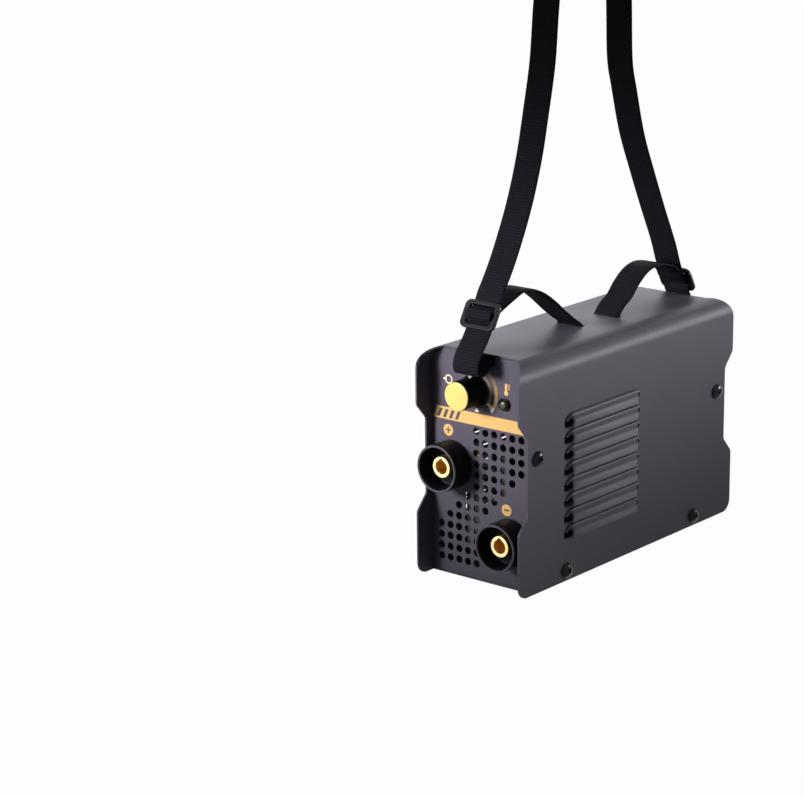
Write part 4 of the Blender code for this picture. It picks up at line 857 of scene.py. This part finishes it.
def model_louvre():
    """One louvre at the top row: a bead that curves down at both ends, and a hood with rounded ends."""
    top = LOUVRE_TOP
    front = LOUVRE_WINDOW_FRONT + BEAD_FRONT_CURVE
    rear = BEAD_REAR - BEAD_REAR_CURVE
    bead = line_of("louvre", [(HALF_WIDTH + out, front, top + up) for out, up in BEAD_SECTION])
    bpy.ops.mesh.select_all(action="SELECT")
    bpy.ops.mesh.spin(steps=10, angle=math.radians(-BEAD_FRONT_SWEEP), axis=(1, 0, 0),
                      center=(HALF_WIDTH, front, top - BEAD_FRONT_CURVE))
    for sweep, out in BEAD_FADE:
        height = top - BEAD_FRONT_CURVE * (1 - math.cos(math.radians(sweep)))
        pick(bead, "VERT", lambda vert: bead_sweep(vert.co, front) > sweep - 1)
        bpy.ops.transform.resize(value=(out, 1, 1), center_override=(HALF_WIDTH, front, height))
    pick(bead, "VERT", lambda vert: abs(vert.co.y - front) < 0.000001)
    pull(0, rear - front)
    bpy.ops.mesh.spin(steps=8, angle=math.radians(90), axis=(1, 0, 0),
                      center=(HALF_WIDTH, rear, top - BEAD_REAR_CURVE))
    bpy.ops.mesh.extrude_region_move(TRANSFORM_OT_translate={"value": (0, 0, -BEAD_DROP)})
    bpy.ops.transform.resize(value=(0.2, 1, 1), center_override=(HALF_WIDTH, rear, top))
    finish_sheet(bead)

    hood = line_of("louvre", [(HALF_WIDTH + out, HOOD_FRONT - HOOD_SLANT * (out - HOOD_WAIST), top + up)
                              for out, up in HOOD_SECTION])
    bpy.ops.mesh.select_all(action="SELECT")
    pull(0, HOOD_REAR - HOOD_FRONT)
    round_hood_end(1)
    pick(hood, "VERT", lambda vert: abs(hood_setback(vert.co)) < 0.000001)
    round_hood_end(-1)
    finish_sheet(hood)
    return join("louvre", [bead, hood])


def hood_setback(corner):
    """How far a corner of the hood lies behind the slanted line of its front end."""
    return corner.y - HOOD_FRONT + HOOD_SLANT * (corner.x - HALF_WIDTH - HOOD_WAIST)


def round_hood_end(sign):
    """Draws a hood's end in and together, so that it closes in a curve."""
    for inward, along, share in HOOD_ENDS:
        pull(inward, sign * along)
        bpy.ops.transform.resize(value=(1, 1, share), center_override=(HALF_WIDTH, 0, LOUVRE_TOP + HOOD_MIDDLE))


def bead_sweep(corner, front):
    """How far round the front curve a corner of the bead lies, in degrees."""
    return math.degrees(math.atan2(front - corner.y, corner.z - LOUVRE_TOP + BEAD_FRONT_CURVE))


def finish_sheet(item):
    """Turns an open sheet outwards, away from the case, and gives it its thickness."""
    bpy.ops.mesh.select_all(action="SELECT")
    bpy.ops.mesh.remove_doubles(threshold=0.000001)
    bpy.ops.mesh.normals_make_consistent(inside=False)
    shape = bmesh.from_edit_mesh(item.data)
    if sum(face.normal.x * face.calc_area() for face in shape.faces) < 0:
        bpy.ops.mesh.flip_normals()
    leave()
    modify(item, "SOLIDIFY", thickness=LOUVRE_WALL, offset=-1.0)
    smooth(item, 50)


def model_cover():
    """The folded sheet: a box without ends and bottom, bent, given its thickness and trimmed."""
    cover = block("cover_shell", (-HALF_WIDTH, -HALF_LENGTH, 0), (HALF_WIDTH, HALF_LENGTH, CASE_HEIGHT))
    edit(cover)
    pick(cover, "FACE", lambda face: abs(face.normal.y) > 0.5 or face.normal.z < -0.5)
    bpy.ops.mesh.delete(type="FACE")
    pick(cover, "EDGE", lambda edge: abs(edge.verts[0].co.y - edge.verts[1].co.y) > HALF_LENGTH
         and edge.verts[0].co.z > CASE_HEIGHT / 2)
    bpy.ops.mesh.bevel(offset=BEND_RADIUS, segments=16, affect="EDGES")
    leave()
    modify(cover, "SOLIDIFY", thickness=SHEET, offset=-1.0, use_even_offset=True)
    carve(cover, slab("outline", wing_outline(), "X", -2 * HALF_WIDTH, 2 * HALF_WIDTH), "INTERSECT")
    for sign in (-1, 1):
        relief = slab("relief", top_edge_relief(sign), "Z", CASE_HEIGHT - BEND_RADIUS, CASE_HEIGHT + BEND_RADIUS)
        carve(cover, relief)
    for across, along in ((0, FRONT_SLOT), (REAR_STRAP_SIDE, REAR_SLOT)):
        slot = block("slot", (across - SLOT_LENGTH / 2, along - SLOT_WIDTH / 2, CEILING - SHEET),
                     (across + SLOT_LENGTH / 2, along + SLOT_WIDTH / 2, CASE_HEIGHT + SHEET))
        edit(slot)
        pick(slot, "EDGE", lambda edge: abs(edge.verts[0].co.z - edge.verts[1].co.z) > SHEET)
        bpy.ops.mesh.bevel(offset=0.0018, segments=4, affect="EDGES")
        leave()
        carve(cover, slot)
    windows = []
    for index in range(LOUVRE_COUNT):
        top = LOUVRE_TOP - index * LOUVRE_PITCH
        roof = top - 0.0016
        window = block("window", (-2 * HALF_WIDTH, LOUVRE_WINDOW_FRONT, top - LOUVRE_HEIGHT - GAP),
                       (2 * HALF_WIDTH, LOUVRE_WINDOW_REAR, roof))
        edit(window)
        pick(window, "EDGE", lambda edge: abs(edge.verts[0].co.x - edge.verts[1].co.x) > HALF_WIDTH
             and edge.verts[0].co.z > roof - 0.0001)
        bpy.ops.mesh.bevel(offset=LOUVRE_WINDOW_ROUND, segments=6, affect="EDGES")
        leave()
        windows.append(window)
    carve(cover, join("windows", windows))
    soften(cover, EDGE_ROUND, 2, 50)

    hood = model_louvre()
    hoods = []
    for index in range(LOUVRE_COUNT):
        right = copy_of(hood, "louvre", (0, 0, -index * LOUVRE_PITCH))
        hoods += [right, mirrored_copy(right, "louvre")]
    bpy.data.objects.remove(hood, do_unlink=True)
    join("cover_shell", [cover] + hoods)
    return cover


def set_camera():
    azimuth = math.radians(CAMERA_AZIMUTH)
    elevation = math.radians(CAMERA_ELEVATION)
    roll = math.radians(CAMERA_ROLL)
    back = Vector((math.sin(azimuth) * math.cos(elevation), -math.cos(azimuth) * math.cos(elevation),
                   math.sin(elevation)))
    level = Vector((math.cos(azimuth), math.sin(azimuth), 0))
    upright = back.cross(level)
    right = math.cos(roll) * level + math.sin(roll) * upright
    up = math.cos(roll) * upright - math.sin(roll) * level
    data = bpy.data.cameras.new("camera")
    data.lens = CAMERA_LENS
    data.sensor_width = 36
    data.sensor_fit = "HORIZONTAL"
    camera = bpy.data.objects.new("camera", data)
    bpy.context.scene.collection.objects.link(camera)
    camera.matrix_world = Matrix.Translation(CAMERA_PLACE) @ Matrix((right, up, back)).transposed().to_4x4()
    bpy.context.scene.camera = camera


def panel_outline(strap_side):
    """An end panel seen along the case, with round shoulders and the strap's notch."""
    top = CEILING - GAP
    floor = top - PANEL_NOTCH
    radius = BEND_RADIUS - SHEET - GAP
    right = [(INNER_HALF, SHEET + GAP)] + arc((INNER_HALF - radius, top - radius), radius, 0, 90, 12)
    left = flipped(right)[::-1]
    notch_right = strap_side + SLOT_LENGTH / 2
    notch_left = strap_side - SLOT_LENGTH / 2
    notch = [right[-1], (notch_right, top), (notch_right, floor), (notch_left, floor), (notch_left, top), left[0]]
    return right + [tuple(point) for point in eased(notch, 0.0012)[1:-1]] + left


def model_panel(name, sign, strap_side, holes):
    """A sheet panel with its folded foot and side tabs, and its holes cut."""
    panel = slab(name, panel_outline(strap_side), "Y", sign * (PANEL_Y - SHEET), sign * PANEL_Y)
    middle = sign * (PANEL_Y - SHEET / 2)
    foot = SHEET + GAP
    foot_half = INNER_HALF - SHEET - GAP
    foot_end = sign * (PANEL_Y - SHEET - FOOT_DEPTH)
    carve(panel, block("foot", (-foot_half, min(middle, foot_end), foot),
                       (foot_half, max(middle, foot_end), foot + SHEET)), "UNION")
    tab_end = sign * (PANEL_Y - SHEET - TAB_DEPTH)
    for side in (-1, 1):
        edges = sorted((side * INNER_HALF, side * (INNER_HALF - SHEET)))
        carve(panel, block("tab", (edges[0], min(middle, tab_end), TAB_SCREW_HEIGHT - TAB_HEIGHT / 2),
                           (edges[1], max(middle, tab_end), TAB_SCREW_HEIGHT + TAB_HEIGHT / 2)), "UNION")
    carve(panel, join("holes", holes))
    soften(panel, PANEL_EDGE_ROUND)
    return panel


def hole(across, height, radius, sign, sides=28):
    """A punch for a round hole in an end panel."""
    start = sign * (PANEL_Y - 2 * SHEET)
    return rod("punch", (across, start, height), (across, sign * (PANEL_Y + SHEET), height), radius, sides)


def vent_places():
    """Square grid in two fields either side of a diagonal, clear of the sockets."""
    clear = SOCKET_RADIUS + VENT_RADIUS + VENT_SOCKET_GAP
    edge = INNER_HALF - SHEET - VENT_RADIUS
    for column in range(-VENT_HALF_COLUMNS, VENT_HALF_COLUMNS + 1):
        for row in range(VENT_ROWS):
            if column > 0 and row + column > VENT_RIGHT_DIAGONAL:
                continue
            if column < 0 and row + column < VENT_LEFT_DIAGONAL:
                continue
            place = Vector((VENT_MIDDLE + column * VENT_COLUMN_PITCH,
                            VENT_BOTTOM + (VENT_ROWS - 1 - row) * VENT_ROW_PITCH))
            near_socket = any((place - Vector(centre)).length < clear for centre in SOCKET_PLACES.values())
            if abs(place.x) < edge and not near_socket:
                yield place


def model_front_panel():
    punch = hole(0, 0, VENT_RADIUS, -1)
    holes = [copy_of(punch, "punch", (place.x, 0, place.y)) for place in vent_places()]
    bpy.data.objects.remove(punch, do_unlink=True)
    holes += [hole(across, height, 0.0113, -1, 48) for across, height in SOCKET_PLACES.values()]
    holes.append(hole(*KNOB_PLACE, 0.0045, -1))
    holes.append(hole(*LAMP_PLACE, LAMP_BODY + GAP, -1))
    return model_panel("front_plate", -1, 0, holes)


def model_rear_panel():
    punch = hole(0, 0, AIR_HOLE_RADIUS, 1)
    places = [(0, FAN_HEIGHT)]
    for ring in range(1, 4):
        places += arc((0, FAN_HEIGHT), ring * AIR_RING_STEP, 0, 360, 6 * ring)[:-1]
    holes = [copy_of(punch, "punch", (across, 0, height)) for across, height in places]
    bpy.data.objects.remove(punch, do_unlink=True)
    holes += [hole(across, FAN_HEIGHT + up, 0.0023, 1) for across in (-FAN_SCREW_OFFSET, FAN_SCREW_OFFSET)
              for up in (-FAN_SCREW_OFFSET, FAN_SCREW_OFFSET)]
    holes.append(hole(*GLAND_PLACE, 0.0080, 1, 40))
    holes.append(block("switch_hole", (SWITCH_PLACE[0] - 0.0098, PANEL_Y - 2 * SHEET, SWITCH_PLACE[1] - 0.0138),
                       (SWITCH_PLACE[0] + 0.0098, PANEL_Y + SHEET, SWITCH_PLACE[1] + 0.0138)))
    return model_panel("rear_plate", 1, REAR_STRAP_SIDE, holes)


def model_socket(word, place):
    """Insulating cup with a rounded rim, and the brass contact in it with its bore and keyway."""
    spot = (place[0], -PANEL_Y, place[1])
    bore = CONTACT_RADIUS + GAP
    wall = [(SOCKET_RADIUS, GAP), (SOCKET_RADIUS, SOCKET_RIM), (SOCKET_CUP + 0.0006, SOCKET_RIM),
            (SOCKET_CUP, SOCKET_FLOOR), (bore, SOCKET_FLOOR), (bore, -0.012), (0.011, -0.012), (0.011, GAP)]
    collar = turned(f"{word}_socket_cup", eased(wall, 0.0007, closed=True), spot, FACING_FRONT, 72, True)
    dress(collar, COLLAR_BLACK, "case", "black_plastic", f"{word}_socket_body")

    end = CONTACT_FACE - CONTACT_BORE_DEPTH
    metal = [(0, end), (CONTACT_BORE, end), (CONTACT_BORE, CONTACT_FACE), (CONTACT_RADIUS, CONTACT_FACE),
             (CONTACT_RADIUS, -0.021), (0, -0.021)]
    contact = turned(f"{word}_brass_contact", eased(metal, 0.0005), spot, FACING_FRONT, 64)
    face = -PANEL_Y - CONTACT_FACE
    keyway = [(place[0] + across, place[1] + up) for across, up in
              ((-0.0026, 0.0030), (0.0026, 0.0030), (0.0009, 0.0058), (-0.0009, 0.0058))]
    carve(contact, slab("keyway", keyway, "Y", face - 0.001, face + 0.014))
    smooth(contact, 40)
    dress(contact, finish_brass(f"{word}_brass", place), "case", "brass", f"{word}_contact")


def model_knob():
    """Black knob with a flared skirt and a pointer dot, and its yellow cap."""
    spot = (KNOB_PLACE[0], -PANEL_Y, KNOB_PLACE[1])
    body = [(0, 0.0140), (0.0043, 0.0140), (0.0043, KNOB_LENGTH), (KNOB_RADIUS, KNOB_LENGTH),
            (KNOB_RADIUS, 0.0062), (KNOB_BASE - 0.0005, 0.0026), (KNOB_BASE, 0.0008), (0.0082, 0.0008),
            (0.0082, 0.0070), (0.0033, 0.0070), (0.0033, 0.0115), (0, 0.0115)]
    knob = turned("knob_body", eased(body, 0.0006), spot, FACING_FRONT, 72)
    dress(knob, KNOB_BLACK, "knob", "black_plastic", "current_knob")

    seat = KNOB_LENGTH + GAP
    crown = seat + 0.0009
    rim = KNOB_RADIUS - GAP
    shell = [(0, crown), (0.7 * rim, crown - 0.0001), (0.95 * rim, crown - 0.0002), (rim, crown - 0.0005),
             (rim, seat), (0.0040, seat), (0.0040, 0.0143), (0, 0.0143)]
    cap = turned("knob_yellow_cap", eased(shell, 0.0006), spot, FACING_FRONT, 72)
    dress(cap, YELLOW, "knob", "yellow_plastic", "knob_cap")

    dot = turned("knob_pointer_dot", eased([(0, 0.0003), (0.0013, 0.0002), (0.0014, -0.0008), (0, -0.0008)], 0.0001),
                 (spot[0], spot[1] - 0.0044, spot[2] + 0.0100), (math.radians(15), 0, 0), 28)
    dress(dot, CREAM_PRINT, "knob", "yellow_plastic")


def model_lamp():
    spot = (LAMP_PLACE[0], -PANEL_Y, LAMP_PLACE[1])
    ring = [(LAMP_RADIUS, GAP), (LAMP_RADIUS, 0.0018), (LAMP_LENS + GAP, 0.0018), (LAMP_LENS + GAP, -0.007),
            (LAMP_BODY, -0.007), (LAMP_BODY, GAP)]
    bezel = turned("lamp_ring", eased(ring, 0.0005, closed=True), spot, FACING_FRONT, 48, True)
    dress(bezel, SOCKET_BLACK, "case", "black_plastic", "lamp_bezel")
    dome = [(LAMP_LENS * math.sin(math.radians(step)), 0.0018 + 0.0012 * math.cos(math.radians(step)))
            for step in range(0, 91, 15)]
    lens = turned("lamp_green_lens", dome + [(LAMP_LENS, -0.007), (0, -0.007)], spot, FACING_FRONT, 40)
    dress(lens, GREEN_LENS, "case", "green_lens", "lamp_lens")


def model_screws():
    """One domed screw with a cross recess, copied to every place."""
    head = [(0, 0.0029), (0.0022, 0.0028), (0.0038, 0.0022), (0.0047, 0.0013), (0.0050, 0.0005), (0.0050, GAP),
            (0.0020, GAP), (0.0020, -0.0045), (0, -0.0045)]
    screw = turned("screw", eased(head, 0.0004, 2), (0, 0, 0), (0, 0, 0), 40)
    recess = block("recess", (-0.0023, -0.0005, 0.0012), (0.0023, 0.0005, 0.0040))
    carve(recess, block("recess_across", (-0.0005, -0.0023, 0.0012), (0.0005, 0.0023, 0.0040)), "UNION")
    carve(screw, recess)
    soften(screw, 0.00012, 1, 50)
    sides = (("right", FACING_RIGHT, HALF_WIDTH), ("left", FACING_LEFT, -HALF_WIDTH))
    places = (("front_upper", -0.0992, 0.088), ("rear_upper", 0.0992, 0.088),
              ("front_lower", -0.0687, 0.007), ("rear_lower", 0.0735, 0.007))
    turn = 20
    for side, facing, across in sides:
        for word, along, height in places:
            turn += 37
            spun = copy_of(screw, "spun", (0, 0, 0), (0, 0, math.radians(turn)))
            made = copy_of(spun, f"side_screw_{side}_{word}", (across, along, height), facing)
            bpy.data.objects.remove(spun, do_unlink=True)
            dress(made, SCREW_BLACK, "case", "black_steel", f"cover_screw_{side}_{word}")
    offsets = [(across, up) for across in (-FAN_SCREW_OFFSET, FAN_SCREW_OFFSET)
               for up in (-FAN_SCREW_OFFSET, FAN_SCREW_OFFSET)]
    for index, (across, up) in enumerate(offsets):
        made = copy_of(screw, f"fan_mount_screw_{index + 1}", (across, PANEL_Y, FAN_HEIGHT + up), FACING_REAR)
        dress(made, SCREW_BLACK, "case", "black_steel", f"fan_screw_{index + 1}")
    bpy.data.objects.remove(screw, do_unlink=True)


PRINT = 0.00008


def printed(name, outline, finish):
    """A thin raised print on the front panel."""
    made = slab(name, outline, "Y", -PANEL_Y, -PANEL_Y - PRINT)
    return dress(made, finish, "case", "yellow_plastic")


def ring_outline(centre, inner, outer, start, end, steps):
    """A band between two arcs."""
    return arc(centre, outer, start, end, steps) + arc(centre, inner, end, start, steps)


def disc(name, centre, radius, sign_bars):
    """A printed disc with a sign left bare in it."""
    made = slab(name, arc(centre, radius, 0, 360, 48)[:-1], "Y", -PANEL_Y, -PANEL_Y - PRINT)
    for half_across, half_up in sign_bars:
        carve(made, block("bar", (centre[0] - half_across, -PANEL_Y - 2 * PRINT, centre[1] - half_up),
                          (centre[0] + half_across, -PANEL_Y + PRINT, centre[1] + half_up)))
    return dress(made, GOLD_PRINT, "case", "yellow_plastic")


def print_marks():
    """The gold band with its slanted bars, the knob's scale, the polarity discs and two pictograms."""
    band = slab("gold_band", [(-0.0386, 0.1022), (0.0386, 0.1022), (0.0386, 0.1102), (-0.0362, 0.1102)],
                "Y", -PANEL_Y, -PANEL_Y - PRINT)
    for index in range(4):
        left = -0.0361 + index * 0.0049
        bar = slab("bar", [(left, 0.1032), (left + 0.0025, 0.1032), (left + 0.0049, 0.1088), (left + 0.0024, 0.1088)],
                   "Y", -PANEL_Y + PRINT, -PANEL_Y - 2 * PRINT)
        carve(band, bar)
    dress(band, GOLD_PRINT, "case", "yellow_plastic")

    outer = ring_outline(KNOB_PLACE, 0.0159, 0.0183, 62, -30, 36)
    inner = ring_outline(KNOB_PLACE, 0.0120, 0.0133, 62, -30, 36)
    printed("scale_outer_arc", outer, SCALE_PRINT_AND_SHADOW)
    printed("scale_inner_arc", inner, SCALE_PRINT_AND_SHADOW)
    arrow = arc(KNOB_PLACE, 0.0183, -30, -43, 6) + arc(KNOB_PLACE, 0.0140, -38, -36, 2)
    arrow += arc(KNOB_PLACE, 0.0120, -41, -30, 5)
    printed("scale_foot", arrow, CREAM_PRINT)
    printed("scale_start", [(-0.0056, 0.1112), (-0.0018, 0.1112), (-0.0037, 0.1134)], CREAM_PRINT)

    disc("plus_disc", (-0.0268, 0.0954), 0.0038, [(0.0023, 0.0005), (0.0005, 0.0023)])
    disc("minus_disc", (0.0197, 0.0513), 0.0038, [(0.0022, 0.0006)])

    dial = (-0.0262, 0.1286)
    printed("dial_mark_ring", ring_outline(dial, 0.0022, 0.0030, 150, -150, 30), CREAM_PRINT)
    printed("dial_mark_arrow", [(dial[0] - 0.0048, dial[1]), (dial[0] - 0.0018, dial[1] - 0.0014),
                                (dial[0] - 0.0018, dial[1] + 0.0014)], CREAM_PRINT)
    stem = (0.0194, 0.1270)
    tube = arc(stem, 0.0016, 125, 415, 24) + arc((stem[0], stem[1] + 0.0052), 0.0009, 0, 180, 10)
    printed("heat_mark_tube", tube, GOLD_PRINT)
    for index in range(3):
        low = stem[1] + 0.0026 + index * 0.0013
        printed(f"heat_mark_tick_{index + 1}", [(stem[0] + 0.0016, low), (stem[0] + 0.0030, low),
                                                (stem[0] + 0.0030, low + 0.0006), (stem[0] + 0.0016, low + 0.0006)],
                GOLD_PRINT)


def model_switch():
    """Rocker switch: a framed well with soft edges, and a dished rocker with its two marks."""
    across, height = SWITCH_PLACE
    seat = PANEL_Y + GAP
    body = block("switch_bezel", (across - 0.0115, seat, height - 0.0155), (across + 0.0115, seat + 0.002, height + 0.0155))
    edit(body)
    pick(body, "FACE", lambda face: face.normal.y > 0.5)
    bpy.ops.mesh.inset(thickness=0.0010, depth=0.0)
    bpy.ops.transform.translate(value=(0, 0.0003, 0))
    leave()
    carve(body, block("box", (across - 0.0095, PANEL_Y - 0.014, height - 0.0135),
                      (across + 0.0095, seat + 0.0008, height + 0.0135)), "UNION")
    well_low, well_high = (height - 0.01152, height + 0.01152)
    carve(body, block("well", (across - 0.0072, PANEL_Y - 0.0084, well_low), (across + 0.0072, seat + 0.005, well_high)))
    soften(body, 0.0004, 3)
    dress(body, SOCKET_BLACK, "case", "black_plastic", "switch_frame")

    half = 0.0104
    dish = [(0.0042 - 0.0023 * math.cos(math.radians(90 * step / 8)), half * step / 8) for step in range(-8, 9)]
    outline = dish + [(-0.0034, 0.8 * half), (-0.0034, -0.8 * half)]
    rocker = slab("rocker_cap", outline, "X", -0.0066, 0.0066)
    soften(rocker, 0.0005, 3)
    bar = block("rocker_bar_mark", (-0.0004, 0.0030, 0.0044), (0.0004, 0.00385, 0.0076))
    ring = slab("rocker_ring_mark", ring_outline((0, -0.0060), 0.0011, 0.0018, 0, 359.9, 32), "Y", 0.0030, 0.00385)
    pieces = ((rocker, RED_PLASTIC, ("switch_rocker",)), (bar, WHITE_PRINT, ()), (ring, WHITE_PRINT, ()))
    for piece, finish, nodes in pieces:
        piece.rotation_euler = (math.radians(-8), 0, 0)
        piece.location = (across, PANEL_Y - 0.001, height)
        settle(piece)
        dress(piece, finish, "rocker", "red_plastic", *nodes)


def model_gland():
    """Cable gland: flange, domed nut with grip grooves, and an open bore."""
    spot = (GLAND_PLACE[0], PANEL_Y, GLAND_PLACE[1])
    shell = [(0.0057, 0.018), (0.0085, 0.0130), (0.00945, 0.0118), (0.00945, 0.0033), (0.0105, 0.0032),
             (0.0105, GAP), (0.0077, GAP), (0.0077, -0.010), (0.0042, -0.010), (0.0042, 0.018)]
    gland = turned("gland_body", eased(shell, 0.0005, closed=True), (0, 0, 0), (0, 0, 0), 60, True)
    for index in range(10):
        angle = math.tau * index / 10
        groove = rod("groove", (0.0099 * math.cos(angle), 0.0099 * math.sin(angle), 0.0044),
                     (0.0099 * math.cos(angle), 0.0099 * math.sin(angle), 0.016), 0.0009, 12)
        carve(gland, groove)
    gland.rotation_euler = FACING_REAR
    gland.location = spot
    settle(gland)
    smooth(gland, 40)
    dress(gland, SOCKET_BLACK, "case", "black_plastic", "cable_gland")


# The right heatsink takes the black copy of the aluminium as painted shade; the left one stays bare.
NODE_FINISHES = {
    "base_plate": COAT, "fan_frame": SOCKET_BLACK, "fan_rotor": SOCKET_BLACK, "cable_gland_nut": SOCKET_BLACK,
    "positive_socket_nut": SOCKET_BLACK, "negative_socket_nut": SOCKET_BLACK, "main_board": BOARD,
    "control_board": BOARD, "transformer_core": FERRITE, "transformer_winding": WINDING,
    "bus_capacitor_left": SLEEVE, "bus_capacitor_right": SLEEVE, "heatsink_left": ALUMINIUM,
    "heatsink_right": SHADE_BLACK_ALUMINIUM, "positive_output_bar": TINNED, "negative_output_bar": TINNED}


def dress_nodes():
    """Finishes for the CAD nodes that stay in view."""
    for name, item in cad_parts.items():
        finish = NODE_FINISHES.get(name, STEEL)
        for holder in item.material_slots:
            holder.material = finish.material


def set_stage():
    """Pale floor, white surroundings, and four softboxes."""
    bpy.ops.object.select_all(action="DESELECT")
    bpy.ops.mesh.primitive_plane_add(size=8, location=(0, 0, -0.0006))
    floor = bpy.context.object
    floor.name = "floor"
    settle(floor)
    paint = bpy.data.materials.new("pale_floor")
    nodes = Nodes(paint)
    shader = nodes.tree.nodes["Principled BSDF"]
    shader.inputs["Base Color"].default_value = (0.25, 0.25, 0.26, 1.0)
    shader.inputs["Roughness"].default_value = 0.9
    white = nodes.node("ShaderNodeEmission", {}, {"Strength": 1.0})
    mixed = nodes.node("ShaderNodeMixShader", {}, {
        0: nodes.seen() * FLOOR_WHITE, 1: Socket(nodes, shader.outputs[0]), 2: white})
    nodes.tree.links.new(mixed.link, nodes.tree.nodes["Material Output"].inputs["Surface"])
    floor.data.materials.append(paint)

    world = bpy.data.worlds.new("studio")
    bpy.context.scene.world = world
    nodes = Nodes(world)
    fill = nodes.node("ShaderNodeBackground", {}, {"Color": (1, 1, 1, 1), "Strength": FILL_LIGHT})
    seen = nodes.node("ShaderNodeBackground", {}, {"Color": (1, 1, 1, 1), "Strength": 1.0})
    mixed = nodes.node("ShaderNodeMixShader", {}, {0: nodes.seen(), 1: fill, 2: seen})
    nodes.tree.links.new(mixed.link, nodes.tree.nodes["World Output"].inputs["Surface"])

    for name, place, aim, size, spread_angle, power, tint in SOFTBOXES:
        data = bpy.data.lights.new(name, "AREA")
        data.shape = "RECTANGLE"
        data.size, data.size_y = size
        data.spread = math.radians(spread_angle)
        data.energy = power
        data.color = tint
        lamp = bpy.data.objects.new(name, data)
        bpy.context.scene.collection.objects.link(lamp)
        lamp.location = place
        lamp.rotation_euler = (Vector(aim) - Vector(place)).to_track_quat("-Z", "Y").to_euler()
        lamp.visible_camera = False


FLOOR_WHITE = 0.98
FILL_LIGHT = 0.03
SOFTBOXES = (
    ("overhead", (0.0, -0.30, 1.40), (0, -0.05, 0.1), (1.0, 1.0), 180, 3.4, (1.0, 1.0, 1.0)),
    ("front_left", (-0.22, -0.47, 0.25), (-0.043, -0.1, 0.145), (0.22, 0.22), 30, 0.28, (1.0, 0.98, 1.0)),
    ("back_left", (-1.05, 1.20, 0.62), (0, 0, 0.12), (1.4, 0.7), 180, 7.6, (0.94, 0.93, 1.0)),
    ("back_right", (0.68, 0.80, 0.27), (0.041, 0.0, 0.19), (0.8, 0.12), 24, 0.74, (1.0, 0.97, 0.99)),
)

set_camera()
strap, strap_path = weave_strap()
dress(strap, WEBBING, "case", "webbing", "carry_strap")
front_buckle = model_buckle("front_slide_buckle", FRONT_BUCKLE, FRONT_BUCKLE_TILT, -1)
dress(front_buckle, BUCKLE_BLACK, "case", "black_plastic", "front_buckle")
rear_buckle = model_buckle("rear_slide_buckle", REAR_BUCKLE, REAR_BUCKLE_TILT, 1)
dress(rear_buckle, BUCKLE_BLACK, "case", "black_plastic", "rear_buckle")
dress(model_cover(), COAT, "case", "powder_coat", "cover")
dress(model_front_panel(), COAT, "case", "powder_coat", "front_panel")
dress(model_rear_panel(), COAT, "case", "powder_coat", "rear_panel")
for word, place in SOCKET_PLACES.items():
    model_socket(word, place)
model_knob()
model_lamp()
model_screws()
print_marks()
model_switch()
model_gland()
dress_nodes()
set_stage()

bpy.context.scene.view_settings.view_transform = "Standard"
